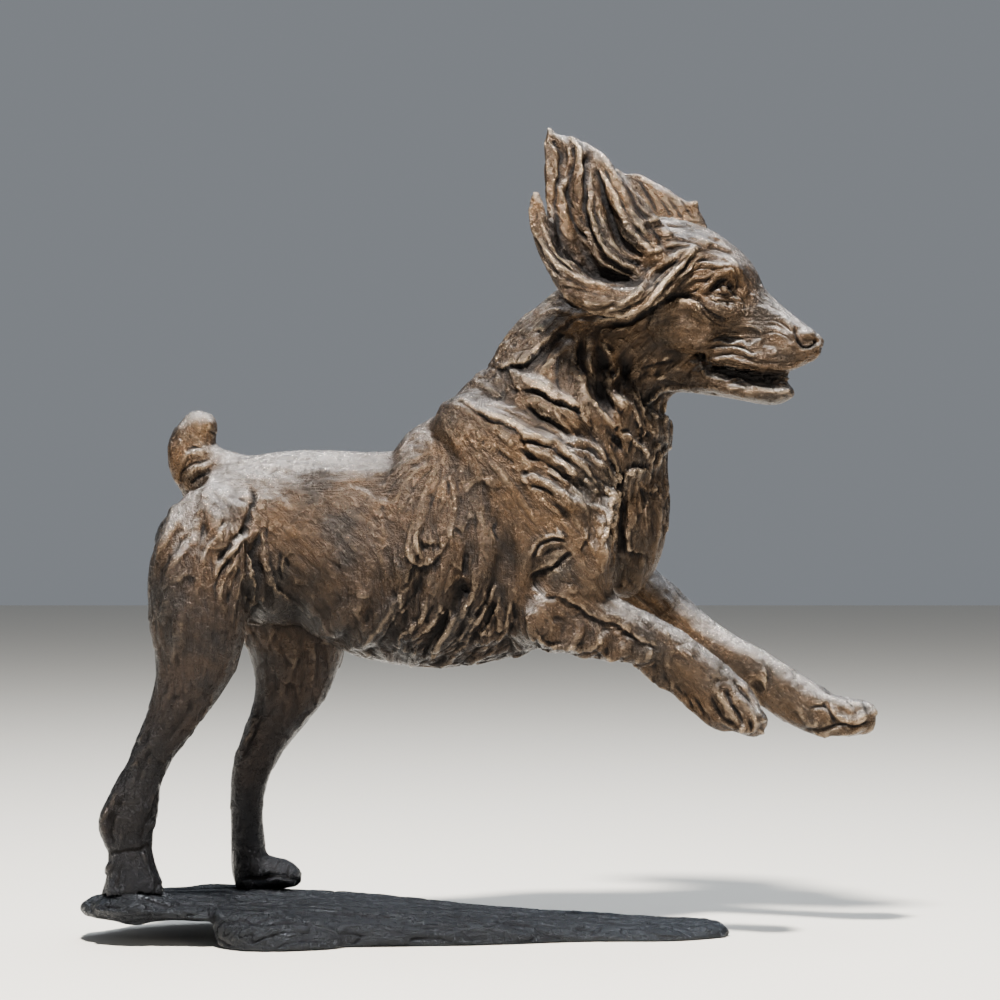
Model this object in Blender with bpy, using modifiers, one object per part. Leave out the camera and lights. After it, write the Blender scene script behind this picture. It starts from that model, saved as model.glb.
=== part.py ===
"""A running spaniel, life size, cast in bronze and standing by its hind paws on a low ground plate.

The figure faces +X and its own right side is towards -Y. The ground is at Z = 0.
"""

import math

import bmesh
import bpy
from mathutils import Matrix, Vector
from mathutils.bvhtree import BVHTree

# Driving sizes, in metres.
FIGURE_LENGTH = 0.780  # from the trailing hock to the toes of the leading forepaw
PLATE_LENGTH = 0.620  # between the sections at its two ends
PLATE_WIDTH = 0.205
PLATE_TOP = 0.040  # height of the plate's top under the hind paws
PLATE_LIFT = 0.023  # how far the plate's rear end curls up off the ground
PLATE_NOSE = 0.014  # height of the plate's front end
PLATE_ROOT = 0.020  # the slab is drawn this far into the ground, then cut off flat there
PLATE_OVERHANG = 0.048  # how far the plate reaches behind the near hind paw
SEAT_DEPTH = 0.005  # how deep the soles are let into the plate
SEAT_GAP = 0.0003  # between the figure and the plate

# The figure is set out in units of 1/780 of its length, with its origin on the sole plane.
UNIT = FIGURE_LENGTH / 780
HEAD_TURN = math.radians(13)  # the head looks a little towards -Y
HEAD_PIVOT = Vector((150, 0, 560))

# Fineness of the cast surface.
FIGURE_VOXEL = 3.6 * UNIT
FIGURE_SMOOTHING = 2
FIGURE_KEPT_FACES = 0.05
PLATE_VOXEL = 0.004
PLATE_SMOOTHING = 3
PLATE_KEPT_FACES = 0.034
RING_SIDES = 14
STEPS_PER_STATION = 4

NEAR, FAR = -1, 1
BRONZE = (0.115, 0.068, 0.042, 1)
DARK_BRONZE = (0.035, 0.034, 0.036, 1)

# A station is (x, y, z, across, deep): the middle of a section, its half width and its half depth.
TORSO = [
    (-286, 0, 350, 44, 42),
    (-255, 0, 352, 68, 78),
    (-211, 0, 354, 70, 88),
    (-171, 0, 358, 69, 89),
    (-131, 0, 348, 77, 100),
    (-91, 0, 339, 87, 110),
    (-51, 0, 343, 92, 120),
    (-11, 0, 356, 93, 128),
    (29, 0, 371, 90, 126),
    (79, 0, 379, 80, 116),
    (112, 0, 381, 64, 94),
    (132, 0, 385, 48, 68),
]
NECK = [
    (55, 0, 425, 84, 112),
    (90, 0, 473, 78, 106),
    (102, 0, 511, 68, 94),
    (123, 0, 540, 58, 82),
    (146, 0, 566, 52, 78),
    (165, 0, 600, 48, 62),
]
CHEST = [
    (136, 0, 528, 38, 40),
    (146, 0, 486, 35, 38),
    (147, 0, 452, 34, 36),
    (150, 0, 426, 32, 37),
    (152, 0, 382, 31, 37),
    (148, 0, 350, 29, 35),
    (138, 0, 320, 24, 30),
]
TAIL = [
    (-225, 0, 385, 30, 40),
    (-255, 0, 405, 26, 38),
    (-280, 0, 425, 23, 31),
    (-289, 0, 443, 20, 27),
    (-286, 0, 458, 17, 22),
    (-280, 0, 468, 16, 19),
]
SKULL = [
    (145, 0, 622, 44, 48),
    (172, 0, 620, 53, 56),
    (206, 0, 610, 55, 60),
    (236, 0, 596, 48, 52),
    (258, 0, 577, 36, 40),
    (284, 0, 560, 27, 33),
    (306, 0, 550, 24, 28),
    (322, 0, 545, 19, 22),
    (330, 0, 544, 13, 14),
]
CROWN = [(150, 0, 656, 26, 16), (185, 0, 662, 30, 14), (212, 0, 656, 26, 12), (232, 0, 641, 16, 9)]
LOWER_JAW = [
    (172, 0, 542, 38, 42),
    (205, 0, 524, 33, 25),
    (235, 0, 511, 28, 14),
    (265, 0, 502, 23, 10),
    (292, 0, 498, 19, 11),
    (306, 0, 500, 14, 9),
]
TONGUE = [(215, 0, 524, 14, 20), (250, 0, 522, 13, 17), (282, 0, 517, 11, 14), (299, 0, 513, 9, 11)]
NOSE = [(321, 0, 551, 12, 12), (330, 0, 552, 13, 11), (336, 0, 550, 10, 8)]
SHOULDER = [
    (-10, -36, 462, 40, 40),
    (20, -50, 440, 42, 58),
    (50, -58, 405, 42, 68),
    (76, -62, 360, 38, 60),
    (88, -63, 322, 33, 46),
    (78, -62, 290, 28, 38),
]
NEAR_FORELEG = [
    (48, -62, 292, 26, 40),
    (84, -64, 281, 25, 39),
    (118, -62, 271, 22, 34),
    (150, -60, 261, 20, 28),
    (182, -57, 248, 19, 24),
    (207, -54, 230, 19, 24),
    (230, -52, 209, 22, 26),
    (249, -51, 192, 23, 25),
]
FAR_FORELEG = [
    (90, 60, 325, 32, 46),
    (130, 58, 312, 29, 40),
    (172, 57, 288, 25, 31),
    (208, 54, 262, 21, 26),
    (242, 50, 240, 19, 23),
    (278, 48, 220, 19, 24),
    (310, 47, 197, 21, 26),
    (340, 46, 180, 23, 25),
]
NEAR_HIND_LEG = [
    (-254, -44, 372, 34, 50),
    (-271, -56, 325, 40, 56),
    (-277, -62, 280, 38, 50),
    (-278, -64, 245, 33, 44),
    (-290, -64, 205, 27, 32),
    (-311, -63, 165, 21, 23),
    (-329, -62, 130, 19, 20),
    (-340, -62, 98, 22, 26),
    (-347, -62, 74, 22, 29),
    (-343, -62, 50, 19, 22),
    (-341, -62, 24, 22, 27),
    (-340, -62, 2, 26, 34),
]
FAR_HIND_LEG = [
    (-225, 42, 365, 32, 62),
    (-205, 52, 315, 38, 66),
    (-190, 58, 262, 37, 58),
    (-190, 60, 226, 33, 46),
    (-196, 60, 200, 28, 38),
    (-209, 60, 172, 23, 28),
    (-224, 60, 145, 20, 23),
    (-236, 60, 112, 18, 20),
    (-239, 60, 78, 17, 17),
    (-238, 60, 45, 18, 18),
    (-237, 60, 22, 19, 18),
    (-236, 60, 8, 19, 17),
]
FAR_HIND_PAW = [(-238, 60, 10, 19, 14), (-218, 60, 14, 23, 18), (-200, 60, 13, 24, 15)]

# Smaller masses of the head's near side; the far side mirrors them before the head is turned.
HEAD_MASSES = [
    [(176, -34, 588, 18, 30), (203, -38, 574, 18, 33), (226, -34, 558, 14, 26)],
    [(222, -45, 612, 8, 9), (242, -43, 622, 8, 9), (258, -34, 620, 8, 9), (267, -23, 608, 7, 8)],
    [(206, -50, 590, 7, 8), (230, -48, 583, 8, 8), (250, -40, 578, 8, 8), (266, -30, 580, 6, 7)],
    [(236, -27, 542, 7, 14), (262, -25, 537, 8, 14), (288, -21, 535, 8, 13), (309, -12, 532, 8, 11)],
    [(246, -41, 601, 10, 10), (251, -40, 601, 10, 10)],
]

# Locks of the two ears, blown up and back; each runs from its root at the skull to its tip.
NEAR_EAR = [
    [(168, -64, 600, 10, 12), (126, -72, 598, 12, 14), (90, -76, 622, 12, 14), (76, -74, 672, 11, 12),
     (70, -68, 724, 8, 9), (67, -64, 757, 4, 5)],
    [(172, -60, 608, 10, 11), (138, -64, 606, 11, 12), (106, -66, 634, 11, 12), (90, -66, 684, 10, 11),
     (82, -62, 728, 8, 9), (80, -60, 750, 5, 6)],
    [(176, -64, 614, 10, 11), (148, -74, 612, 12, 12), (120, -78, 640, 12, 12), (104, -74, 690, 11, 11),
     (94, -68, 730, 8, 9), (91, -64, 748, 5, 6)],
    [(182, -58, 622, 10, 11), (160, -62, 622, 11, 12), (134, -64, 650, 11, 12), (118, -64, 696, 10, 11),
     (106, -60, 732, 7, 9), (102, -58, 744, 4, 5)],
    [(186, -64, 630, 10, 11), (168, -72, 632, 12, 12), (146, -74, 662, 12, 12), (130, -70, 700, 10, 10),
     (117, -64, 728, 7, 8), (113, -62, 737, 4, 4)],
    [(196, -56, 642, 9, 11), (180, -60, 648, 10, 12), (159, -62, 672, 10, 12), (142, -60, 698, 8, 10),
     (129, -58, 718, 4, 6)],
]
NEAR_EAR_RIM = [
    [(222, -46, 648, 7, 8), (206, -60, 634, 9, 10), (182, -76, 606, 10, 11), (156, -90, 590, 11, 13),
     (122, -98, 586, 11, 16), (90, -100, 602, 10, 15), (68, -96, 634, 8, 13), (56, -92, 668, 7, 10),
     (53, -90, 692, 5, 6)],
    [(172, -66, 596, 9, 11), (140, -80, 588, 9, 13), (104, -84, 598, 9, 14), (80, -84, 626, 8, 13),
     (66, -82, 660, 6, 8)],
]
FAR_EAR = [
    [(168, 60, 606, 9, 16), (132, 72, 616, 9, 20), (108, 76, 652, 9, 20), (98, 72, 700, 7, 15),
     (100, 68, 734, 4, 6)],
    [(178, 60, 620, 9, 15), (150, 70, 634, 9, 18), (132, 72, 668, 8, 18), (128, 68, 704, 7, 13),
     (138, 62, 731, 4, 5)],
    [(188, 58, 634, 9, 14), (170, 66, 650, 9, 16), (156, 68, 680, 8, 15), (154, 62, 706, 6, 10),
     (162, 58, 723, 4, 5)],
    [(198, 52, 646, 9, 13), (184, 58, 662, 9, 14), (176, 58, 686, 9, 14), (180, 54, 702, 6, 10),
     (188, 50, 709, 4, 6)],
    [(222, 38, 652, 8, 14), (206, 44, 668, 11, 26), (180, 52, 680, 12, 32), (150, 60, 690, 12, 38),
     (122, 68, 697, 10, 31)],
    [(210, 42, 674, 7, 11), (212, 42, 688, 5, 8), (219, 42, 695, 4, 5)],
    [(160, 74, 600, 9, 14), (122, 86, 604, 9, 16), (92, 88, 632, 8, 16), (78, 84, 670, 6, 11),
     (76, 82, 698, 4, 5)],
]

# Paws: the root and the tip of the middle of a row of toes, their spacing, half width and half depth.
PAWS = [
    ((246, -51, 190), (274, -50, 171), 12, 7.5, 21),
    ((342, 46, 176), (394, 46, 173), 12, 7.5, 24),
    ((-206, 60, 13), (-189, 60, 9), 12, 7.5, 14),
]

# The fringe that hangs behind the near foreleg.
FRINGE = [
    [(160, -56, 238, 8, 12), (172, -56, 222, 7, 9), (178, -56, 208, 3, 4)],
    [(176, -55, 228, 9, 14), (190, -55, 214, 9, 10), (203, -55, 203, 4, 5)],
    [(196, -54, 214, 10, 14), (212, -53, 196, 10, 12), (228, -52, 178, 8, 9), (240, -52, 168, 4, 5)],
]

# Folds and locks of hair on the sides of the body, drawn as (x, z) paths seen from the side:
# half width, height above the skin, then the path.
SIDE_LOCKS = [
    (10, 8, [(7, 525), (32, 517), (50, 506), (77, 500)]),
    (11, 9, [(35, 499), (65, 490), (91, 477), (109, 465)]),
    (12, 9, [(-17, 488), (9, 473), (38, 454), (79, 445), (102, 434), (122, 430)]),
    (9, 8, [(42, 445), (72, 430), (102, 421), (126, 414)]),
    (9, 8, [(42, 415), (65, 406), (87, 391), (108, 386)]),
    (9, 9, [(92, 544), (97, 506), (116, 472)]),
    (9, 9, [(116, 534), (127, 496), (137, 464)]),
    (8, 8, [(140, 520), (148, 482), (158, 450)]),
    (10, 9, [(132, 440), (130, 404), (122, 355), (112, 318)]),
    (8, 6, [(-268, 420), (-262, 380), (-246, 345)]),
    (8, 6, [(-250, 395), (-244, 350), (-228, 312)]),
    (8, 6, [(-236, 360), (-228, 318), (-206, 280)]),
]
# Rows of locks: how many, half width, height, length at the first and last lock, then the
# row's first and last root and the direction the hair falls at each of them.
LOCK_ROWS = [
    (6, 15, 10, 84, 70, (-110, 305), (66, 300), (-0.75, -0.65), (-0.5, -0.85)),
    (4, 13, 9, 88, 84, (-60, 380), (40, 362), (-0.35, -0.93), (-0.2, -0.97)),
    (5, 9, 9, 40, 26, (76, 274), (170, 248), (-0.85, -0.5), (-0.85, -0.5)),
    (3, 11, 7, 80, 70, (-300, 400), (-292, 300), (-0.25, -0.95), (-0.1, -0.99)),
]
LOCK_TAPER = [(0, 0.5, 0.3), (0.35, 1.0, 0.9), (0.75, 0.85, 1.0), (1, 0.3, 0.6)]

# The plate seen from above: share of its length, then its middle's offset and its half width as
# shares of its width.
PLATE_OUTLINE = [
    (0.00, -0.12, 0.16),
    (0.06, -0.12, 0.34),
    (0.15, -0.05, 0.46),
    (0.22, 0.00, 0.49),
    (0.30, 0.00, 0.50),
    (0.42, 0.00, 0.47),
    (0.60, -0.04, 0.37),
    (0.78, 0.03, 0.31),
    (0.92, 0.00, 0.27),
    (1.00, 0.02, 0.17),
]
# The rear end's underside is lifted as far as the first share of the length and grounded from the second.
LIFTED_SHARES = (0.21, 0.26)
SLOPING_SHARES = (0.25, 0.95)  # between these the plate's top comes down to the height of its front end
# A lobe on the near edge: share of the length, offset and half width as shares of the width, and
# the middle and half depth as shares of the plate's height.
LOBE = [(0.24, -0.46, 0.10, 0.40, 0.5), (0.29, -0.50, 0.13, 0.20, 0.7), (0.38, -0.44, 0.11, 0.10, 0.6)]
# The plate swells round the near hind paw: distance ahead of the paw, half width and half depth, in
# figure units.
MOUND = [(-30, 24, 10), (0, 38, 19), (34, 28, 11)]
MOUND_SINK = 4


def smooth(stations, steps):
    """Points of a Catmull-Rom curve through the stations, all their numbers blended alike."""
    ends = [stations[0], *stations, stations[-1]]
    line = []
    for spans in zip(ends, ends[1:], ends[2:], ends[3:]):
        for step in range(steps):
            line.append([catmull_rom(values, step / steps) for values in zip(*spans)])
    line.append(list(stations[-1]))
    return line


def catmull_rom(values, t):
    p, q, r, s = values
    return 0.5 * (2 * q + (r - p) * t + (2 * p - 5 * q + 4 * r - s) * t**2 + (3 * q - p - 3 * r + s) * t**3)


def blend(a, b, t):
    return [p + (q - p) * t for p, q in zip(a, b)]


def loft(mesh, stations, thin=(0, 1, 0), steps=STEPS_PER_STATION, sides=RING_SIDES, turn=None, square=2):
    """Adds a closed body with domed ends whose sections follow the stations.

    thin is the direction of a section's half width. square is 2 for an oval section and more
    for a boxier one. turn moves every finished point.
    """
    line = smooth(stations, steps)
    places = [Vector(station[:3]) for station in line]
    rings = []
    for i, station in enumerate(line):
        along = (places[min(i + 1, len(line) - 1)] - places[max(i - 1, 0)]).normalized()
        across = Vector(thin) - along * along.dot(Vector(thin))
        across.normalize()
        rings.append((places[i], along, across * station[3], along.cross(across) * station[4]))
    start = [dome_ring(rings[0], -1, angle) for angle in (60, 30)]
    body = [(place, across, deep) for place, _, across, deep in rings]
    end = [dome_ring(rings[-1], 1, angle) for angle in (30, 60)]
    loops = [section(ring, sides, square) for ring in start + body + end]
    poles = [dome_ring(rings[0], -1, 90)[0], dome_ring(rings[-1], 1, 90)[0]]
    add_tube(mesh, loops, poles, turn or (lambda point: point))


def dome_ring(ring, way, degrees):
    """One ring of a domed end, smaller and further out as the angle nears 90 degrees."""
    place, along, across, deep = ring
    angle = math.radians(degrees)
    rise = min(across.length, deep.length)
    return place + along * (way * rise * math.sin(angle)), across * math.cos(angle), deep * math.cos(angle)


def section(ring, sides, square):
    """The points of one section, an oval or a rounded rectangle."""
    place, across, deep = ring
    loop = []
    for k in range(sides):
        angle = math.tau * k / sides
        u, v = math.cos(angle), math.sin(angle)
        spread = (abs(u) ** square + abs(v) ** square) ** (-1 / square)
        loop.append(place + across * (u * spread) + deep * (v * spread))
    return loop


def add_tube(mesh, loops, poles, place):
    """Faces between neighbouring loops, and a fan of triangles to each pole."""
    rows = [[mesh.verts.new(place(point)) for point in loop] for loop in loops]
    first_pole, last_pole = (mesh.verts.new(place(point)) for point in poles)
    sides = len(rows[0])
    for k in range(sides):
        n = (k + 1) % sides
        for a, b in zip(rows, rows[1:]):
            mesh.faces.new((a[k], a[n], b[n], b[k]))
        mesh.faces.new((rows[0][n], rows[0][k], first_pole))
        mesh.faces.new((rows[-1][k], rows[-1][n], last_pole))


def mirrored(stations):
    """The same stations on the other side of the figure."""
    return [(station[0], -station[1], *station[2:]) for station in stations]


def head_turn(point):
    """Turns a point of the head about the top of the neck."""
    return HEAD_PIVOT + Matrix.Rotation(-HEAD_TURN, 3, "Z") @ (point - HEAD_PIVOT)


def planted(point):
    """Keeps a point of a standing paw from sinking deeper than its seat."""
    return Vector((point.x, point.y, max(point.z, -SEAT_DEPTH / UNIT)))


def add_body(mesh):
    for stations in (TORSO, NECK, CHEST, TAIL, SHOULDER, mirrored(SHOULDER), NEAR_FORELEG, FAR_FORELEG):
        loft(mesh, stations)
    for stations in (NEAR_HIND_LEG, FAR_HIND_LEG, FAR_HIND_PAW):
        loft(mesh, stations, turn=planted)
    for stations in FRINGE:
        loft(mesh, stations, sides=10)


def add_head(mesh):
    for stations in (SKULL, CROWN, LOWER_JAW, TONGUE, NOSE):
        loft(mesh, stations, turn=head_turn)
    for stations in HEAD_MASSES:
        loft(mesh, stations, turn=head_turn, sides=10)
        loft(mesh, mirrored(stations), turn=head_turn, sides=10)


def add_ears(mesh):
    for lock in NEAR_EAR + NEAR_EAR_RIM + FAR_EAR:
        loft(mesh, lock, sides=10)


def add_paws(mesh):
    """Four toes to a paw; the middle two reach further than the outer two."""
    for root, tip, spacing, across, deep in PAWS:
        for k in range(4):
            offset = (k - 1.5) * spacing
            reach = 1 if k in (1, 2) else 0.75
            end = blend(root, tip, reach)
            toe = [(root[0], root[1] + offset * 0.8, root[2], across, deep),
                   (end[0], end[1] + offset, end[2], across, deep * 0.75)]
            loft(mesh, toe, sides=10, turn=planted)


def skin_point(skin, x, z, side):
    """Where a ray from one side meets the body, and the way the skin faces there."""
    start = Vector((x, side * 1000, z))
    place, normal, _, _ = skin.ray_cast(start, Vector((0, -side, 0)))
    return place, normal


def lay_lock(mesh, skin, path, width, height, side):
    """A tapered lock lying on the skin along a path drawn from the side."""
    line = smooth(path, 2)
    stations = []
    faces = Vector()
    for i, (x, z) in enumerate(line):
        place, normal = skin_point(skin, x, z, side)
        if place is None:
            continue
        wide, high = taper(i / (len(line) - 1))
        stations.append((*place, height * high, width * wide))
        faces += normal
    if len(stations) > 2:
        loft(mesh, stations, thin=faces, steps=2, sides=8)


def taper(t):
    """A lock's half width and height at a share of its length."""
    for (start, *low), (end, *high) in zip(LOCK_TAPER, LOCK_TAPER[1:]):
        if t <= end:
            return blend(low, high, (t - start) / (end - start))
    return LOCK_TAPER[-1][1:]


def row_paths(count, long_first, long_last, first, last, fall_first, fall_last):
    """The paths of a row of locks, every other one a little longer and each curling forward."""
    for k in range(count):
        t = k / (count - 1)
        x, z = blend(first, last, t)
        dx, dz = blend(fall_first, fall_last, t)
        length = (long_first + (long_last - long_first) * t) * (1 if k % 2 else 0.8)
        middle = (x + dx * length * 0.5 - dz * length * 0.08, z + dz * length * 0.5 + dx * length * 0.08)
        yield [(x, z), middle, (x + dx * length, z + dz * length)]


def add_fur(mesh, skin):
    for side in (NEAR, FAR):
        for width, height, path in SIDE_LOCKS:
            lay_lock(mesh, skin, path, width, height, side)
        for count, width, height, *row in LOCK_ROWS:
            for path in row_paths(count, *row):
                lay_lock(mesh, skin, path, width, height, side)


def figure_mesh():
    """All the figure's overlapping bodies, in figure units."""
    mesh = bmesh.new()
    add_body(mesh)
    mesh.normal_update()
    skin = BVHTree.FromBMesh(mesh)
    add_head(mesh)
    add_ears(mesh)
    add_paws(mesh)
    add_fur(mesh, skin)
    return mesh


def plate_mesh():
    """The plate's slab, its lobe on the near side and the mound round the near hind paw, in metres."""
    mesh = bmesh.new()
    paw = Vector(NEAR_HIND_LEG[-1][:3]) * UNIT
    rear = paw.x - PLATE_OVERHANG
    slab = []
    for along, offset, half in PLATE_OUTLINE:
        slope = smoothstep(*SLOPING_SHARES, along)
        grounded = smoothstep(*LIFTED_SHARES, along)
        top = PLATE_TOP + (PLATE_NOSE - PLATE_TOP) * slope
        bottom = PLATE_LIFT - (PLATE_LIFT + PLATE_ROOT) * grounded
        place = (rear + along * PLATE_LENGTH, offset * PLATE_WIDTH, (top + bottom) / 2)
        slab.append((*place, half * PLATE_WIDTH, (top - bottom) / 2))
    loft(mesh, slab, sides=24, square=3.5)
    lobe = []
    for along, offset, half, middle, deep in LOBE:
        place = (rear + along * PLATE_LENGTH, offset * PLATE_WIDTH, middle * PLATE_TOP)
        lobe.append((*place, half * PLATE_WIDTH, deep * PLATE_TOP))
    loft(mesh, lobe)
    mound = []
    for ahead, across, deep in MOUND:
        place = (paw.x + ahead * UNIT, paw.y, PLATE_TOP - MOUND_SINK * UNIT)
        mound.append((*place, across * UNIT, deep * UNIT))
    loft(mesh, mound)
    return mesh


def smoothstep(low, high, value):
    t = min(max((value - low) / (high - low), 0), 1)
    return t * t * (3 - 2 * t)


def new_object(name, mesh, collection):
    data = bpy.data.meshes.new(name)
    mesh.to_mesh(data)
    mesh.free()
    obj = bpy.data.objects.new(name, data)
    collection.objects.link(obj)
    return obj


def cast_surface(obj, voxel, smoothing, kept_faces):
    """Fuses overlapping bodies into one skin, softens it and thins out its faces."""
    fuse = obj.modifiers.new("fuse", "REMESH")
    fuse.mode = "VOXEL"
    fuse.voxel_size = voxel
    fuse.use_smooth_shade = True
    soften = obj.modifiers.new("soften", "SMOOTH")
    soften.iterations = smoothing
    thin_out = obj.modifiers.new("thin_out", "DECIMATE")
    thin_out.ratio = kept_faces


def cut(obj, cutter, name):
    """Takes the cutter's volume out of an object."""
    difference = obj.modifiers.new(name, "BOOLEAN")
    difference.operation = "DIFFERENCE"
    difference.solver = "EXACT"
    difference.object = cutter


def hide_cutter(cutter):
    cutter.hide_render = True
    cutter.display_type = "WIRE"


def bronze(name, colour, roughness):
    material = bpy.data.materials.new(name)
    material.use_nodes = True
    shader = material.node_tree.nodes["Principled BSDF"]
    shader.inputs["Base Color"].default_value = colour
    shader.inputs["Roughness"].default_value = roughness
    shader.inputs["Metallic"].default_value = 1.0
    return material


def ground_block(collection):
    """Everything below the ground, taken off the plate to leave its underside flat."""
    size = Vector((PLATE_LENGTH, PLATE_WIDTH, PLATE_TOP)) * 3
    mesh = bmesh.new()
    bmesh.ops.create_cube(mesh, matrix=Matrix.Diagonal((*size, 1)))
    block = new_object("ground_block", mesh, collection)
    block.location.z = -size.z / 2
    hide_cutter(block)
    return block


def plate_cutter(plate, collection):
    """The finished plate, grown by the gap, for seating the figure on it."""
    depsgraph = bpy.context.evaluated_depsgraph_get()
    data = bpy.data.meshes.new_from_object(plate.evaluated_get(depsgraph))
    cutter = bpy.data.objects.new("plate_cutter", data)
    collection.objects.link(cutter)
    grow = cutter.modifiers.new("grow", "DISPLACE")
    grow.strength = SEAT_GAP
    grow.mid_level = 0
    hide_cutter(cutter)
    return cutter


def main():
    for obj in list(bpy.data.objects):
        bpy.data.objects.remove(obj, do_unlink=True)
    statue = bpy.data.collections.new("running_spaniel")
    cutters = bpy.data.collections.new("cutters")
    for collection in (statue, cutters):
        bpy.context.scene.collection.children.link(collection)

    plate = new_object("ground_base", plate_mesh(), statue)
    cast_surface(plate, PLATE_VOXEL, PLATE_SMOOTHING, PLATE_KEPT_FACES)
    cut(plate, ground_block(cutters), "flat_underside")
    plate.data.materials.append(bronze("dark_bronze", DARK_BRONZE, 0.5))

    figure = figure_mesh()
    bmesh.ops.scale(figure, vec=Vector((UNIT, UNIT, UNIT)), verts=figure.verts)
    bmesh.ops.translate(figure, vec=(0, 0, PLATE_TOP), verts=figure.verts)
    dog = new_object("dog", figure, statue)
    cast_surface(dog, FIGURE_VOXEL, FIGURE_SMOOTHING, FIGURE_KEPT_FACES)
    cut(dog, plate_cutter(plate, cutters), "seat")
    dog.data.materials.append(bronze("brown_bronze", BRONZE, 0.4))


main()
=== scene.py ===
import itertools
import math
from functools import partial

import bmesh
import bpy
import numpy as np
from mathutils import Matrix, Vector


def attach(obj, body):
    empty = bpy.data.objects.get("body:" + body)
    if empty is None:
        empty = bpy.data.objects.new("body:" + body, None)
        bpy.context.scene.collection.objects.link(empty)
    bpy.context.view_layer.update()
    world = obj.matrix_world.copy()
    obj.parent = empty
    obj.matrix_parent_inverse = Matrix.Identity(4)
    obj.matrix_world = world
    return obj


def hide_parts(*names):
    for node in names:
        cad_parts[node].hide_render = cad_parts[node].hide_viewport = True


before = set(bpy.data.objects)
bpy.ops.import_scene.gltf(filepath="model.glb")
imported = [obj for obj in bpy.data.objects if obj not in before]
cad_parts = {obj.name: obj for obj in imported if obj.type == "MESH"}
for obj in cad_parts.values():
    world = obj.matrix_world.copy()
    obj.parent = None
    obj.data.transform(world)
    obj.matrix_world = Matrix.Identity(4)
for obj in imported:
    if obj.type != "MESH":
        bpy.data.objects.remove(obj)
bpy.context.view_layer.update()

# The camera: one pixel of the 1000 x 1000 image is 1 mm in the plane through the figure's middle.
IMAGE_SIZE = 1000
CAMERA_AT = (0.019, -3.2, 0.434)
SENSOR_WIDTH = 36
FOCAL_PIXELS = 3200

# How the CAD's solids are rounded off, the fineness of the skins made from them, in metres, how often each
# is softened, and how many triangles it keeps. The far side is thinned more than the near side, and the
# near side of the face less: each keeps its share first.
ROUND_OFF_LEVELS = 2
DOG_VOXEL, DOG_SOFTENED = 0.0015, 5
FAR_SIDE_KEEPS = 0.22
FACE_KEEPS = 0.45
DOG_TRIANGLES = 196000
PLATE_VOXEL, PLATE_SOFTENED = 0.0016, 4
PLATE_TRIANGLES = 60000
MM = 0.001

# The carving of the hair and the grain: how far the noise swells, how deep its partings are cut, both as
# shares of the depths in HAIR and PLATE_GRAIN, and how wide a parting is.
DOG_LOCKS = (0.7, 1.0, 0.4)
DOG_STRANDS = (0.3, 0.5, 0.35)
FINEST_STRANDS = 0.25
PLATE_LOCKS = (0.8, 1.6, 0.35)
PLATE_STRANDS = (0.3, 0.9, 0.3)

# The size of the pads of clay that the figure is built from and of the dabs over them, with a seed, and
# their height. A pad's height is a multiple of the depth of the locks there, to which a little is added.
PADS, PAD_HEIGHT, PAD_ADDED = (24 * MM, 20), 1.7, 0.25
DABS, DAB_HEIGHT = (10 * MM, 40), 0.5 * MM

# The noises that the hair and the grain are carved with: how far they are spread before they are drawn
# out, how many times they are drawn out along the hair, and a seed.
CLUMPS = (14, 90, 3)
TRESSES = (3, 60, 4)
FINEST = (1, 40, 5)
PLATE_CLUMPS = (12, 90, 7)
PLATE_TRESSES = (2, 50, 8)

# What lies this much behind the foremost skin isn't seen, and isn't carved by a stroke. The plate's
# carving fades out over the last millimetres above its underside.
HIDDEN_BEHIND = 9 * MM
UNDERSIDE_FADE = 3 * MM

# The head is turned from the body about an upright axis, as in the CAD.
HEAD_TURN = -13
HEAD_PIVOT_X = 0.150
HEAD_STARTS = 0.78  # the head is where X and Z add up to more than this

# The near side of the face, where the finest strokes are, and where the far side begins: further over on
# the head, which is turned.
FACE_FROM = (0.205, -1, 0.545)
FACE_TO = (1, 0.02, 0.665)
FAR_SIDE_Y, FAR_SIDE_Y_OF_HEAD, HEAD_FROM_X = 0.0, 0.03, 0.175

# The directions of the fine streaks in the metal, in degrees from level.
BUMP_DIRECTIONS = (0, 45, 90, 135)

# Colours of the two patinas: in the hollows, which also serves for painted shade, on the forms, their
# warmer patches, dust with a painted sheen of light from above, bare on the ridges, and painted shade near
# the ground.
DOG_COLOURS = (
    (0.008, 0.007, 0.007, 1),
    (0.040, 0.031, 0.024, 1),
    (0.098, 0.057, 0.029, 1),
    (0.330, 0.308, 0.293, 1),
    (0.500, 0.370, 0.250, 1),
    (0.012, 0.013, 0.016, 1),
)
PLATE_COLOURS = (
    (0.006, 0.006, 0.008, 1),
    (0.022, 0.024, 0.028, 1),
    (0.035, 0.032, 0.032, 1),
    (0.060, 0.072, 0.090, 1),
    (0.150, 0.160, 0.180, 1),
    (0.016, 0.018, 0.022, 1),
)

# The metal: the scales of its noises, how metallic it is and the depth of its finest marks.
HAIR_SCALE = 380
MOTTLING_SCALE = 16
SPECKLE_SCALE = 150
GRAIN_SCALE = 640
METALLIC = 0.85
BUMP_DEPTH = 0.0022

# The studio. A lamp has a name, a place, a target, a size in metres, watts and a colour.
LAMPS = [
    ("key", (-0.2, -1.2, 3.0), (0, 0, 0.45), 0.3, 460, (1.0, 0.96, 0.90)),
    ("sky", (0.6, 0.9, 3.0), (0, 0, 0.5), 2.4, 100, (0.82, 0.90, 1.0)),
    ("fill", (1.8, -3.0, 1.2), (0.1, 0, 0.4), 1.6, 16, (1.0, 0.90, 0.76)),
]
WORLD_COLOUR, WORLD_STRENGTH = (0.78, 0.84, 0.92, 1), 0.27
FLOOR_COLOUR, FLOOR_ROUGHNESS = (0.70, 0.67, 0.61, 1), 0.8
FLOOR_SIZE, FLOOR_AT = 14, (0, 3, -0.0005)

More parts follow.
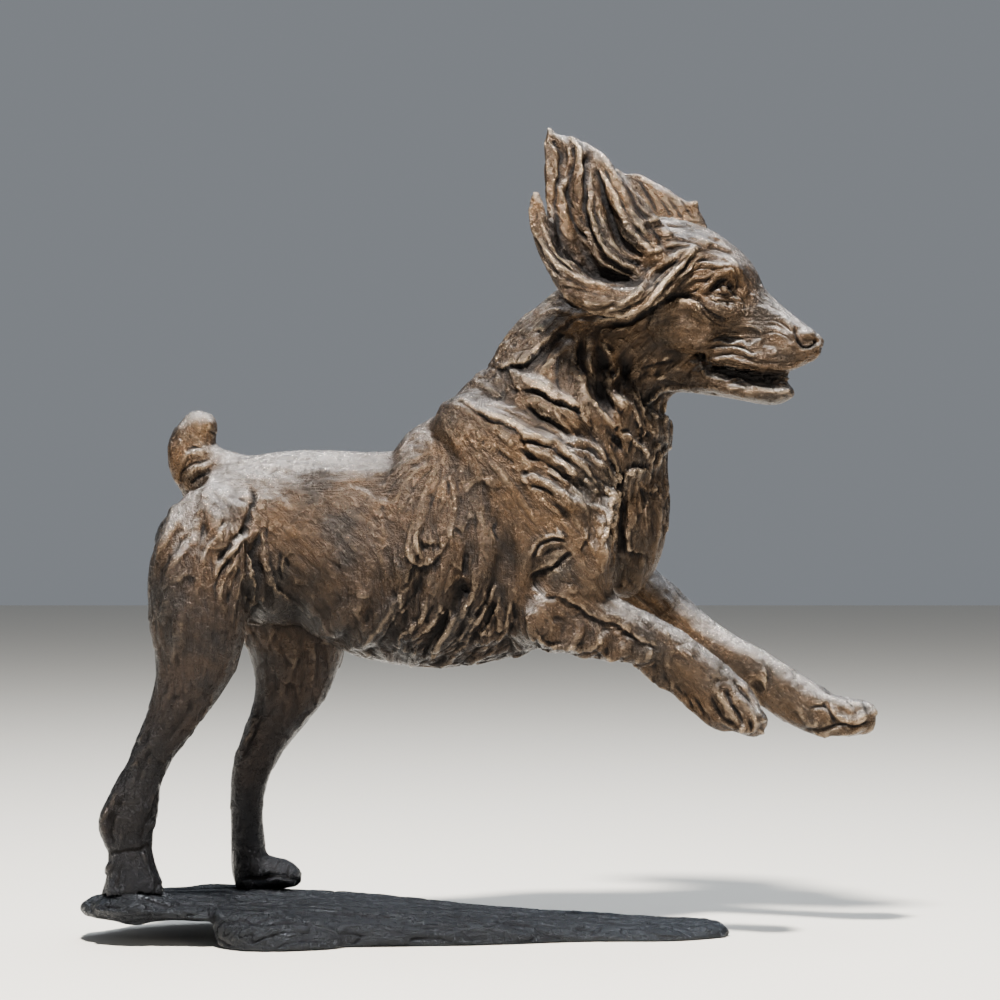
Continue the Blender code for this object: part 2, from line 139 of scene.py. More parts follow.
# The grain of the ground plate, set out as the hair is below.
PLATE_GRAIN = [
    (100, 905, 1, 0.1, 0.6, 0.9),
    (180, 900, 1, 0.1, 0.6, 0.9),
    (230, 900, 0.8, -0.5, 0.7, 1.2),
    (260, 925, 0.9, -0.4, 0.7, 1.2),
    (320, 905, 1, 0.1, 0.6, 1),
    (450, 915, 1, 0.1, 0.6, 1),
    (600, 925, 1, 0.15, 0.6, 1),
    (720, 930, 1, 0.2, 0.5, 0.6),
]

# Which way the hair lies, drawn on the image: x, y, then the direction (right, down), how strong the
# fine strands are and how strong the locks are, both in millimetres.
HAIR = [
    # rump, back and flank
    (190, 450, -0.3, -1, 0.5, 0.3),
    (250, 480, 1, 0.2, 0.4, 0.2),
    (330, 470, 1, 0, 0.35, 0.1),
    (400, 470, 1, -0.2, 0.4, 0.1),
    (300, 530, 0.9, 0.5, 0.4, 0.2),
    (370, 540, 0.7, 0.8, 0.45, 0.3),
    (330, 600, 0.3, 1, 0.5, 0.4),
    (400, 600, 0, 1, 0.7, 0.8),
    (380, 640, 0.1, 1, 0.7, 0.7),
    (430, 480, -0.5, 0.9, 0.7, 0.4),
    (450, 520, 0, 1, 0.9, 0.6),
    (430, 570, 0, 1, 0.8, 1.2),
    (460, 600, -0.1, 1, 0.9, 1.6),
    (440, 640, -0.5, 0.8, 0.9, 1.8),
    (490, 620, -0.2, 1, 0.9, 1.8),
    (500, 560, 0.3, 1, 0.6, 0.2),
    (480, 660, -0.3, 0.9, 0.8, 1),
    # thigh and hind legs
    (180, 540, 0, 1, 0.4, 0.3),
    (220, 540, -0.2, 1, 0.7, 0.9),
    (240, 600, 0.1, 1, 0.6, 0.7),
    (190, 640, 0.1, 1, 0.4, 0.3),
    (160, 720, -0.2, 1, 0.5, 0.5),
    (130, 800, -0.2, 1, 0.6, 0.8),
    (130, 870, 0, 1, 0.5, 0.6),
    (270, 760, -0.5, 1, 0.4, 0.3),
    (250, 840, 0, 1, 0.4, 0.2),
    # shoulder, ruff and chest
    (470, 420, 0.9, 0.5, 0.6, 0.2),
    (520, 440, 0.9, 0.5, 0.6, 0.7),
    (570, 460, 0.9, 0.4, 0.9, 0.7),
    (560, 510, 0.7, 0.7, 0.6, 0.7),
    (540, 560, 0.3, 0.9, 0.6, 0.3),
    (500, 380, 0.7, 0.7, 0.5, 0.9),
    (540, 340, -0.6, 0.7, 0.5, 0.8),
    (590, 360, 0.3, 1, 0.8, 0.9),
    (620, 420, 0.3, 1, 1, 1.6),
    (650, 440, 0.2, 1, 0.9, 1.2),
    (650, 500, 0.1, 1, 0.5, 0.9),
    (620, 540, 0.3, 1, 0.9, 1.4),
    (650, 560, 0.2, 1, 0.6, 0.6),
    # forelegs
    (560, 600, 0.9, 0.4, 0.5, 0.3),
    (640, 630, 0.9, 0.5, 0.5, 0.3),
    (570, 650, -0.5, 0.9, 0.7, 1),
    (640, 670, -0.5, 0.9, 0.6, 0.8),
    (700, 680, 0.7, 0.7, 0.4, 0.2),
    (745, 715, 0.5, 0.9, 0.3, 0.1),
    (730, 640, 0.9, 0.5, 0.4, 0.2),
    (830, 710, 0.9, 0.4, 0.3, 0.1),
    # face
    (790, 320, -0.9, -0.4, 0.2, 0),
    (760, 340, -0.9, 0.2, 0.35, 0.1),
    (745, 270, -0.7, -0.8, 0.3, 0),
    (700, 240, -1, 0, 0.4, 0.3),
    (690, 320, -0.9, 0.3, 0.3, 0.1),
    (660, 340, -0.7, 0.6, 0.4, 0.2),
    (690, 380, -0.9, 0.3, 0.4, 0.3),
    (640, 370, -0.5, 0.9, 0.7, 0.8),
    (760, 395, -1, 0, 0.3, 0.1),
    # near ear
    (690, 255, -0.8, 0.6, 0.6, 0.2),
    (650, 285, -0.7, 0.7, 0.7, 0.3),
    (610, 305, -1, 0.1, 0.7, 0.3),
    (570, 290, -0.7, -0.8, 0.7, 0.3),
    (540, 240, -0.3, -1, 0.7, 0.3),
    (650, 250, -1, 0.1, 0.8, 0.3),
    (610, 245, -0.8, -0.6, 0.9, 0.4),
    (590, 200, -0.4, -0.9, 0.9, 0.4),
    (570, 160, -0.3, -1, 0.9, 0.4),
    (640, 200, -0.7, -0.7, 0.8, 0.4),
]


def stroke(kind, half_width, height, *places):
    """A stroke of the modelling tool through places on the image: right, down, right, down and so on."""
    return kind, half_width, height, np.reshape(places, (-1, 2))


KINDS = ("ridge", "groove", "ledge", "dot", "comb")
ridge, groove, ledge, dot, comb = (partial(stroke, kind) for kind in KINDS)

# The strokes. Half widths are in pixels and heights in millimetres. A ledge is raised on its left hand and
# drops on its right, and a comb leaves notches side by side.
EYE = [
    groove(6.5, 6, 708, 293, 716, 288, 724, 284, 731, 284, 736, 290, 740, 297),
    dot(5, 4.2, 725, 288),
    groove(2.8, 4, 729, 277, 733, 284, 734, 291, 738, 297),
    groove(1.4, 1.8, 717, 293, 724, 295, 732, 294),
    groove(2, 3.4, 709, 291, 715, 285, 721, 280, 729, 277),
    ridge(4.4, 4.6, 698, 291, 706, 287, 713, 280, 721, 272, 730, 270, 734, 275),
    ridge(2, 2.2, 709, 296, 717, 299, 726, 300, 735, 298),
    groove(1.6, 1.8, 738, 293, 743, 300, 745, 309, 745, 318),
]
BROW = [
    ridge(4.4, 4.2, 730, 264, 738, 270, 742, 280, 744, 290, 741, 297),
    groove(2, 2, 722, 268, 733, 268, 738, 277, 739, 290),
    ridge(2.8, 2.4, 672, 283, 683, 273, 697, 265, 711, 264, 726, 266),
    ridge(2.4, 2.2, 679, 288, 691, 279, 704, 278, 712, 273, 722, 268),
    ridge(2.4, 2, 690, 265, 703, 256, 716, 255, 729, 259, 738, 266),
    groove(1.6, 1.8, 676, 283, 688, 273, 702, 269, 716, 269),
    groove(1.6, 1.8, 690, 271, 701, 261, 716, 260, 729, 262),
    groove(1.6, 1.6, 694, 253, 706, 249, 720, 250, 734, 256),
    groove(1.6, 1.5, 679, 287, 683, 292, 694, 291, 700, 287),
]
CHEEK = [
    ridge(7, 3.4, 708, 300, 717, 305, 727, 309, 736, 307),
    groove(1.1, 0.9, 713, 301, 721, 305, 730, 307),
    groove(1.1, 0.9, 714, 306, 722, 310, 731, 312),
    groove(2.8, 4.2, 697, 298, 705, 307, 715, 316, 726, 321),
    groove(3.4, 4.2, 655, 306, 664, 299, 678, 296, 691, 296, 701, 300),
    ledge(18, 3.4, 724, 326, 712, 321, 702, 311, 694, 301, 682, 300, 667, 303, 657, 312),
    ridge(2, 1, 664, 312, 678, 308, 694, 309, 704, 318),
    ridge(2, 0.9, 658, 330, 674, 326, 690, 327, 705, 331),
    groove(1.6, 0.9, 660, 322, 676, 317, 692, 318, 706, 325),
]
MUZZLE = [
    ridge(4.5, 1.6, 746, 288, 755, 303, 773, 314, 795, 327),
    groove(5, 1.6, 744, 312, 756, 320, 772, 324, 790, 330),
    ridge(2.6, 1.8, 730, 329, 743, 326, 755, 328, 764, 332),
    ridge(2.6, 1.8, 706, 339, 720, 334, 734, 334, 748, 338),
    groove(1.5, 0.9, 714, 338, 730, 337, 744, 340),
    groove(1.5, 1.4, 760, 322, 772, 320, 784, 325, 793, 333),
    groove(1.4, 1.4, 762, 334, 774, 332, 786, 336, 792, 342),
    ridge(3.6, 3, 692, 347, 703, 343, 716, 343, 729, 345, 741, 343, 749, 348),
    ridge(3.2, 2.4, 712, 354, 724, 350, 738, 349, 748, 353, 757, 360),
    groove(1.7, 2, 704, 349, 718, 347, 733, 346, 746, 349, 754, 355),
    dot(6, 2, 757, 344),
    dot(7, 1.6, 772, 352),
    dot(6, 1.4, 787, 350),
]
MOUTH = [
    ridge(2.8, 2.4, 703, 362, 716, 359, 737, 360, 755, 364, 774, 368, 791, 367, 803, 360),
    groove(1.5, 1.4, 720, 355, 738, 355, 756, 359, 774, 363, 792, 361),
    groove(3, 3, 703, 364, 709, 368, 716, 371),
    ridge(3, 2.4, 704, 358, 699, 365, 704, 374, 713, 380),
    ridge(2.2, 2, 712, 377, 724, 381, 738, 380, 750, 386, 764, 390, 780, 392, 791, 390),
    ridge(3, 2.2, 716, 369, 730, 371, 746, 375, 760, 378),
    dot(4, 2.4, 768, 379),
    dot(3, 3, 776, 380),
    dot(3, 3, 785, 380),
    groove(2.4, 2.4, 712, 366, 730, 366, 750, 370, 770, 374, 788, 374),
]
NOSE = [
    groove(2.2, 3, 795, 328, 797, 336, 800, 345),
    dot(7.5, 3.2, 808, 333),
    dot(3.6, -4.6, 815, 341),
    groove(2.2, 3.8, 816, 343, 809, 348, 802, 347, 798, 340),
    ridge(3.4, 1.2, 818, 327, 823, 334, 820, 343, 812, 350),
]
JAW = [
    groove(2.6, 2.2, 640, 369, 652, 366, 664, 362, 676, 360),
    ridge(3.2, 1.8, 640, 382, 658, 378, 672, 378, 690, 384),
    ridge(3, 3.2, 642, 404, 651, 398, 660, 392, 679, 387, 701, 391),
    groove(2.2, 2.6, 652, 404, 662, 397, 677, 392, 692, 391),
]
CROWN = [
    ridge(2.6, 1.8, 640, 222, 660, 219, 680, 220, 702, 228),
    groove(1.8, 1.8, 644, 229, 664, 226, 684, 228, 706, 236, 722, 244),
    ridge(2.4, 1.5, 650, 236, 668, 233, 690, 236, 712, 243, 730, 252),
    groove(1.8, 1.8, 656, 244, 672, 240, 690, 242, 706, 247),
    ridge(2.6, 1.8, 652, 252, 668, 246, 684, 245, 700, 249),
]
FACE = EYE + BROW + CHEEK + MUZZLE + MOUTH + NOSE + JAW + CROWN
EAR_RIM = [
    groove(8, 7, 552, 240, 566, 254, 584, 266, 606, 276, 628, 280, 642, 279),
    ridge(3, 2.4, 533, 204, 531, 216, 537, 236, 549, 256, 568, 274, 590, 282, 616, 284),
    ridge(3, 2.2, 540, 222, 546, 238, 557, 254, 572, 267),
    groove(1.8, 2.4, 537, 212, 541, 230, 551, 250, 566, 267, 588, 277),
    groove(1.8, 2, 534, 236, 542, 254, 554, 270, 572, 282, 596, 290),
    groove(2, 2.4, 560, 286, 574, 289, 592, 293, 612, 296),
    ridge(3, 2.2, 558, 292, 572, 299, 590, 304, 606, 304),
    groove(2.2, 2.4, 566, 300, 582, 308, 600, 310, 616, 302),
]
EAR_STRANDS = [
    groove(3.4, 4.6, 553, 140, 560, 156, 560, 176, 556, 196, 556, 214, 561, 236),
    ridge(2.2, 1.4, 548, 160, 548, 184, 549, 208, 557, 232),
    ridge(4.2, 2.4, 560, 138, 569, 152, 568, 172, 563, 192, 564, 210, 572, 230, 588, 248),
    groove(1.7, 2.2, 573, 148, 574, 166, 568, 186, 568, 204, 574, 222, 586, 240),
    ridge(4.2, 2.4, 570, 136, 580, 152, 581, 172, 573, 192, 575, 212, 584, 234),
    groove(4.4, 6.5, 588, 153, 586, 174, 583, 192, 585, 216, 594, 244, 612, 264, 638, 274),
    ridge(4.2, 2.4, 591, 192, 591, 216, 598, 238, 613, 258, 638, 271),
    groove(1.5, 2.4, 595, 198, 597, 218, 605, 238, 620, 254, 640, 266),
    ridge(4.2, 2.4, 598, 196, 603, 218, 613, 239, 630, 256, 650, 265),
    groove(2.4, 4, 597, 168, 605, 196, 612, 220, 624, 242, 642, 258),
    ridge(4.2, 2.4, 591, 152, 602, 170, 613, 194, 621, 216, 634, 236, 653, 254),
    groove(2.2, 3.4, 604, 168, 613, 184, 624, 207, 638, 230, 656, 249),
    ridge(4.2, 2.4, 602, 158, 618, 180, 630, 204, 643, 226, 660, 247),
    groove(1.8, 2.4, 614, 166, 626, 184, 638, 206, 650, 226, 664, 242),
]
EAR_LOCKS = [
    ridge(4.6, 4.4, 697, 246, 683, 261, 669, 276, 655, 292, 643, 305, 625, 315, 606, 320, 592, 322),
    groove(1.2, 1.6, 690, 254, 676, 268, 663, 283, 650, 297, 634, 308),
    groove(2.4, 3.6, 688, 257, 670, 270, 655, 286, 645, 298, 628, 309, 608, 314),
    groove(3.2, 4.6, 694, 258, 678, 276, 664, 294, 651, 309, 634, 320, 612, 327),
    ridge(3.4, 3.2, 690, 250, 675, 255, 660, 266, 647, 279, 640, 292, 628, 300, 616, 304),
    groove(1.6, 2.2, 678, 260, 663, 271, 651, 284, 644, 296),
]
FAR_EAR = [
    groove(2.2, 3, 622, 170, 634, 188, 645, 208),
    groove(2.2, 3, 638, 180, 648, 196, 656, 212),
    groove(2.2, 3, 654, 190, 663, 204, 670, 216),
    groove(2.2, 3, 667, 196, 676, 208, 684, 219),
    groove(2, 2.6, 680, 198, 688, 210, 695, 220),
]
EARS = EAR_RIM + EAR_STRANDS + EAR_LOCKS + FAR_EAR
NAPE = [
    ledge(24, 5.5, 487, 362, 497, 368, 511, 366, 528, 361, 540, 349, 552, 335, 568, 323),
    groove(8, 6, 534, 366, 548, 350, 560, 337, 572, 326),
    ridge(2.4, 1.8, 548, 342, 556, 334, 569, 323),
    dot(3, -2.2, 523, 337),
    dot(3, -2.2, 538, 332),
    dot(3.4, -2.2, 527, 346),
    dot(2.6, -1.8, 499, 362),
    dot(2.6, -1.8, 492, 355),
    dot(2.4, -1.6, 514, 345),
    dot(2.4, -1.6, 505, 352),
    groove(1.6, 1.8, 496, 341, 506, 340, 518, 333),
    groove(1.5, 1.4, 508, 354, 518, 351, 530, 350),
]
COLLAR = [
    ledge(22, 7, 512, 386, 522, 391, 537, 389, 552, 397, 574, 407, 584, 420, 592, 428),
    ledge(16, 5.5, 520, 402, 532, 409, 545, 417, 562, 426, 576, 436),
    groove(2, 2, 548, 405, 560, 413, 572, 423),
    ridge(2.2, 1.6, 556, 411, 562, 421, 568, 432),
]
RUFF = [
    ledge(18, 5.5, 462, 399, 470, 405, 478, 411, 494, 419, 511, 427, 521, 436, 528, 447, 534, 458),
    comb(9, 1.6, 477, 403, 485, 401, 494, 395, 499, 388),
    comb(4.5, 1.4, 486, 443, 494, 450, 503, 456, 510, 461),
    ridge(4, 4, 516, 436, 534, 436, 550, 441, 563, 448, 576, 460, 591, 471),
    groove(2.8, 4.2, 520, 441, 534, 443, 548, 446, 560, 453, 572, 464),
    ridge(4, 4, 522, 447, 539, 452, 555, 460, 568, 467, 576, 481),
    groove(2.6, 3.6, 524, 455, 540, 461, 554, 468, 566, 478),
    ridge(3.6, 3.4, 522, 477, 536, 478, 550, 485, 563, 495, 572, 503),
    groove(2.6, 3.4, 524, 484, 536, 486, 549, 492, 560, 502),
    ridge(3.4, 2.8, 544, 470, 558, 478, 572, 488, 586, 498),
    ridge(3.2, 2.8, 560, 462, 574, 472, 588, 482, 600, 494),
    groove(2.4, 3.2, 536, 425, 550, 431, 564, 441, 578, 450),
    ridge(5, 4.6, 570, 442, 586, 443, 599, 451, 606, 464),
    groove(1.5, 2, 576, 448, 590, 450, 599, 460),
    ridge(4.6, 4.2, 592, 460, 605, 467, 613, 476, 616, 486),
    ridge(4.2, 3.4, 586, 478, 600, 486, 611, 498, 613, 514),
    ridge(3.8, 3, 590, 504, 602, 512, 609, 526, 606, 540),
]
CHEST = [
    ledge(18, 6.5, 602, 552, 608, 538, 613, 520, 614, 500, 617, 480, 611, 462, 603, 449),
    groove(9, 7.5, 612, 462, 618, 482, 621, 500, 619, 520, 616, 536, 620, 556),
    ledge(16, 6, 652, 476, 648, 468, 634, 469, 624, 476, 622, 490),
    ridge(2, 1.4, 636, 480, 640, 500, 642, 524, 648, 548),
    groove(1.8, 1.4, 648, 484, 650, 510, 654, 534),
    ridge(2, 1.2, 660, 480, 661, 510, 660, 540),
]
THROAT = [
    ridge(5.5, 6, 614, 396, 622, 403, 629, 412),
    ridge(3.2, 4.2, 592, 399, 602, 413, 616, 427),
    ridge(3.6, 4.2, 609, 437, 621, 449),
    ridge(4.2, 4.6, 628, 433, 641, 447, 649, 457),
    ridge(3.6, 4.2, 641, 414, 648, 403, 659, 394),
    ridge(3.8, 4, 664, 424, 667, 412, 664, 402),
    ridge(3.6, 4, 668, 448, 661, 458, 654, 470),
    ridge(3.4, 3.6, 660, 442, 654, 452, 648, 463),
    groove(9, 7.5, 604, 430, 616, 440, 628, 455),
    groove(8, 7, 634, 420, 640, 434, 652, 446),
    groove(8, 7, 596, 384, 606, 400, 618, 414),
]
NECK = [
    ridge(5, 5.5, 587, 352, 590, 364, 590, 378),
    ridge(4.4, 5.5, 615, 362, 617, 374, 610, 384),
    ridge(4.6, 5, 599, 338, 606, 348, 612, 358),
    ridge(4.6, 4.6, 632, 384, 636, 398, 644, 410),
    groove(8, 7.5, 580, 340, 580, 358, 583, 376),
    groove(9, 8.5, 598, 352, 603, 368, 603, 382),
    groove(8, 7.5, 624, 352, 627, 370, 626, 386),
    groove(2.4, 2.4, 560, 352, 556, 372, 560, 392),
]
SHOULDER = [
    ridge(2.6, 2.8, 530, 556, 535, 543, 550, 536, 567, 538),
    ridge(2.2, 2.4, 537, 557, 542, 547, 556, 543, 568, 545),
    groove(1.6, 2.2, 533, 558, 539, 545, 552, 540, 566, 541),
    groove(2.6, 2.4, 541, 557, 550, 551, 562, 549),
    groove(3.8, 5.4, 531, 580, 541, 573, 551, 567, 562, 560, 571, 553),
    ledge(10, 2.6, 533, 576, 548, 568, 566, 557),
    groove(2, 3, 495, 522, 494, 531, 499, 541),
    groove(1.6, 1.8, 463, 555, 470, 556),
    groove(1.6, 2, 480, 549, 483, 558, 486, 563),
]
SIDE = [
    ridge(2.2, 1.6, 429, 452, 409, 463, 391, 476, 382, 492),
    groove(1.7, 1.6, 427, 458, 410, 469, 394, 483, 386, 499),
    ridge(2.2, 1.5, 428, 464, 414, 474, 402, 488, 395, 505),
    groove(1.7, 1.6, 431, 468, 420, 480, 410, 494, 404, 510),
    ridge(2.2, 1.5, 435, 470, 427, 486, 420, 502, 415, 516),
    groove(1.8, 1.8, 441, 470, 437, 488, 431, 506, 427, 520),
    ridge(2, 1.6, 443, 478, 444, 494, 440, 512),
    groove(1.7, 1.8, 447, 474, 449, 494, 447, 514),
    ridge(2, 1.6, 450, 478, 454, 496, 456, 514),
    groove(1.7, 1.6, 455, 476, 460, 496, 464, 516),
]
SIDE_TUFT = [
    ledge(24, 4.4, 409, 530, 406, 550, 411, 561, 422, 566, 432, 563, 442, 552, 450, 534),
    groove(1.5, 2, 415, 530, 412, 546, 418, 559),
    ridge(2, 1.8, 419, 524, 416, 542, 422, 560),
    groove(1.5, 1.8, 425, 524, 422, 542, 426, 560),
    ridge(1.8, 1.6, 430, 524, 430, 542, 432, 556),
    groove(1.5, 1.6, 436, 522, 437, 538, 438, 550),
]
SIDE_LOCKS = [
    dot(15, -2, 464, 592),
    ridge(4, 1.6, 450, 583, 459, 577, 470, 578),
    ridge(3, 3.6, 494, 584, 490, 598, 481, 614, 474, 628),
    ridge(2.6, 3, 486, 586, 482, 600, 474, 613, 467, 624),
    groove(1.8, 2.8, 490, 588, 485, 603, 477, 617, 470, 628),
    ridge(2.6, 2.6, 500, 594, 496, 610, 488, 626, 480, 638),
    groove(1.8, 2.6, 497, 600, 490, 617, 482, 632),
    ridge(3.8, 3, 417, 567, 411, 583, 396, 600, 387, 617, 374, 634, 362, 648),
    groove(2.6, 2.4, 422, 574, 416, 592, 402, 609, 392, 626, 380, 642),
]
BELLY = [
    ridge(3, 2.6, 426, 610, 416, 624, 402, 636, 396, 652),
    ridge(3, 2.6, 440, 606, 434, 622, 420, 638, 414, 656),
    groove(2.2, 2.8, 434, 604, 426, 620, 412, 636, 406, 654),
    ridge(3, 3, 456, 614, 450, 630, 438, 646, 432, 662),
    groove(2.4, 3, 449, 608, 442, 626, 430, 642, 424, 660),
    ridge(2.8, 2.6, 470, 634, 464, 646, 452, 658, 446, 666),
    groove(2.4, 3, 464, 620, 459, 636, 446, 652, 440, 664),
    ridge(2.8, 2.6, 490, 640, 484, 652, 474, 662, 466, 668),
    groove(2.4, 2.6, 486, 634, 478, 648, 468, 660, 458, 668),
    ridge(2.6, 2.4, 508, 612, 506, 628, 498, 642, 490, 654),
    groove(2.2, 2.4, 514, 600, 514, 618, 508, 634, 500, 648),
]
RUMP = [
    groove(1.6, 1.6, 269, 475, 278, 469),
    groove(1.6, 1.8, 304, 485, 314, 478),
    groove(1.4, 1.4, 322, 467, 331, 466),
    groove(1.5, 1.4, 256, 469, 264, 465),
    groove(1.4, 1.2, 283, 497, 294, 491),
    groove(1.4, 1.4, 326, 514, 338, 517),
    groove(5, 5, 252, 488, 254, 501, 249, 514, 246, 527, 238, 540),
    dot(9, 1.8, 223, 490),
]
FLANK = [
    groove(12, 6.5, 258, 530, 254, 552, 250, 576, 252, 600, 258, 622),
    ledge(9, 3, 300, 606, 286, 596, 274, 582, 269, 564, 270, 548),
    groove(2.4, 3, 280, 550, 279, 566, 282, 582),
    groove(1.8, 2.2, 285, 556, 289, 568),
    ridge(2.2, 1.8, 263, 524, 263, 544, 266, 564),
    groove(1.8, 1.8, 268, 520, 267, 540, 270, 556),
]
THIGH = [
    ridge(3.2, 3.6, 243, 538, 231, 551, 221, 564, 212, 578),
    groove(2.8, 4.2, 246, 527, 235, 538, 227, 549, 218, 562),
    ridge(2.8, 2.8, 236, 560, 228, 572, 222, 586, 220, 600),
    groove(2.2, 2.8, 229, 558, 220, 572, 214, 588),
    ridge(2.6, 2.6, 222, 528, 214, 540, 206, 552, 204, 566),
    groove(2.4, 3, 226, 520, 217, 534, 208, 546),
    groove(2.4, 2.6, 203, 522, 201, 534, 198, 548),
    ridge(2.6, 2.4, 244, 570, 240, 588, 234, 606, 232, 622),
    groove(2.2, 2.6, 240, 566, 234, 584, 228, 602),
    ridge(4, 2.2, 196, 538, 184, 550, 170, 567, 158, 592),
    groove(3.4, 2.8, 188, 534, 176, 548, 164, 566, 154, 584),
    ridge(3.4, 2.2, 184, 516, 172, 532, 160, 554, 152, 574),
]
TAIL = [
    groove(2.4, 2.4, 186, 450, 194, 446, 203, 450),
    groove(2.4, 2.6, 180, 474, 192, 464, 208, 458),
    groove(2.8, 3, 190, 486, 197, 478, 212, 471),
    groove(2.2, 2.4, 178, 490, 180, 478, 184, 466, 192, 454),
    ridge(3.4, 2, 184, 460, 194, 453, 208, 450),
    ridge(3.4, 2.2, 184, 478, 196, 469, 212, 463),
    groove(2.2, 2.6, 208, 432, 217, 434, 222, 432),
    groove(2.2, 1.6, 174, 436, 184, 438),
]
FOREQUARTERS = NAPE + COLLAR + RUFF + CHEST + THROAT + NECK + SHOULDER
NECK_AND_BODY = FOREQUARTERS + SIDE + SIDE_TUFT + SIDE_LOCKS + BELLY + RUMP + FLANK + THIGH + TAIL
NEAR_FORELEG = [
    ledge(9, 2.4, 562, 592, 553, 600, 541, 596, 533, 584, 538, 576),
    ledge(15, 3.6, 544, 597, 562, 598, 577, 606, 592, 616, 608, 622, 622, 628, 640, 641, 658, 646),
    groove(1.6, 2, 557, 580, 566, 582, 576, 584),
    groove(1.5, 1.8, 602, 628, 612, 630, 622, 629),
    groove(1.5, 2, 622, 632, 631, 637, 640, 640),
    groove(1.5, 1.8, 640, 644, 650, 646, 658, 651),
    ridge(2, 1.2, 590, 598, 606, 612, 622, 620),
    groove(1.6, 1.2, 640, 622, 652, 632, 668, 640),
    groove(1.6, 1.4, 672, 644, 682, 645, 690, 640),
    ledge(7, 3.6, 565, 641, 556, 645, 549, 646, 542, 640, 536, 631),
    ridge(4, 3.4, 562, 650, 570, 647, 579, 649, 588, 647),
    groove(3, 3.4, 534, 638, 541, 648, 550, 655),
    ridge(3, 3, 604, 654, 611, 661, 619, 662),
    groove(2.6, 2.8, 590, 652, 598, 655, 603, 660),
    ridge(3.2, 2.8, 618, 668, 628, 668, 638, 664),
    groove(2, 2.6, 664, 676, 668, 684, 668, 692),
    groove(2, 2.6, 684, 692, 690, 702, 692, 710),
    groove(2, 2.4, 694, 696, 700, 708, 704, 718),
    groove(1.8, 2, 674, 684, 679, 690, 684, 698),
    comb(5, 0.9, 697, 656, 701, 651, 706, 646),
]
NEAR_FOREPAW = [
    ridge(5.2, 3, 713, 688, 721, 700, 729, 712, 738, 722),
    groove(3.2, 5, 725, 689, 731, 701, 736, 712, 742, 725),
    ridge(5.4, 2.8, 734, 692, 743, 703, 752, 716, 758, 728),
    groove(2.8, 4.4, 733, 679, 742, 689, 751, 701, 758, 712),
    ridge(4.4, 2.4, 741, 680, 750, 690, 758, 702, 763, 712),
    groove(3, 4, 708, 694, 715, 707, 724, 718, 736, 727),
    ridge(5, 2.6, 703, 700, 710, 714, 720, 726),
    dot(3.4, -2.6, 717, 681),
    dot(4.4, 3, 742, 730),
    dot(4.4, 3.2, 761, 731),
    groove(2.6, 3.6, 748, 720, 751, 729, 752, 737),
    dot(3.6, 2.6, 764, 719),
]
FAR_FOREPAW = [
    ledge(10, 3, 764, 698, 766, 686, 766, 670, 760, 658),
    dot(10, -3.4, 757, 690),
    groove(2, 2.4, 823, 690, 830, 692, 836, 694),
    ridge(4.4, 3, 797, 706, 804, 718, 814, 724, 821, 717),
    groove(2.4, 3, 808, 708, 820, 707, 829, 706),
    ridge(5, 3.2, 829, 709, 841, 718, 852, 721, 862, 718, 872, 710),
    groove(2.8, 4, 824, 702, 831, 714, 834, 726),
    groove(2.6, 3.4, 845, 696, 852, 706, 856, 716),
    groove(2.6, 3.4, 858, 698, 866, 706, 870, 716),
    groove(2.6, 3.4, 806, 728, 822, 730, 838, 725, 856, 726, 870, 722),
    ridge(4, 2.2, 808, 733, 820, 737, 830, 731),
    ridge(4, 2.2, 836, 732, 848, 735, 860, 729),
    dot(4, 2.4, 875, 714),
]
NEAR_HIND_LEG = [
    ridge(5, 3.2, 146, 716, 140, 724, 137, 734),
    groove(3, 3, 150, 728, 143, 740, 134, 750),
    ridge(4.4, 3, 152, 740, 140, 756, 130, 770),
    groove(3, 3.4, 150, 752, 142, 768, 136, 784),
    ridge(4.6, 3.2, 120, 790, 108, 806, 102, 822, 106, 838),
    groove(3.4, 4, 124, 796, 114, 812, 110, 828, 114, 846),
    groove(3.4, 3.6, 158, 790, 154, 806, 146, 824, 140, 840),
    ridge(3.6, 3, 160, 800, 158, 818, 150, 832),
    groove(3.2, 3.4, 108, 850, 120, 852, 136, 850, 150, 842),
    ridge(4.6, 3.6, 118, 860, 108, 866, 104, 876),
    groove(2.6, 2.6, 122, 862, 118, 876, 116, 890),
    ridge(3.6, 2.4, 146, 852, 148, 866, 154, 880, 162, 888),
    ridge(4, 2, 214, 706, 196, 726, 180, 742, 168, 758),
    groove(5, 2.4, 196, 700, 182, 722, 166, 744),
]
FAR_HIND_LEG = [
    ridge(3.6, 2.4, 256, 716, 248, 736, 236, 754, 232, 764),
    groove(2.8, 2.4, 262, 714, 252, 738, 242, 758),
    groove(2.6, 3.6, 240, 880, 254, 878, 268, 877, 284, 877, 298, 880),
    groove(2.4, 3.2, 284, 853, 278, 862, 274, 874),
    groove(2.4, 3.2, 292, 858, 289, 867, 288, 878),
    ridge(4.2, 2.2, 272, 858, 266, 868, 262, 876),
    dot(3.6, 2.4, 283, 880),
    dot(3.6, 2.4, 298, 879),
]
LEGS = NEAR_FORELEG + NEAR_FOREPAW + FAR_FOREPAW + NEAR_HIND_LEG + FAR_HIND_LEG
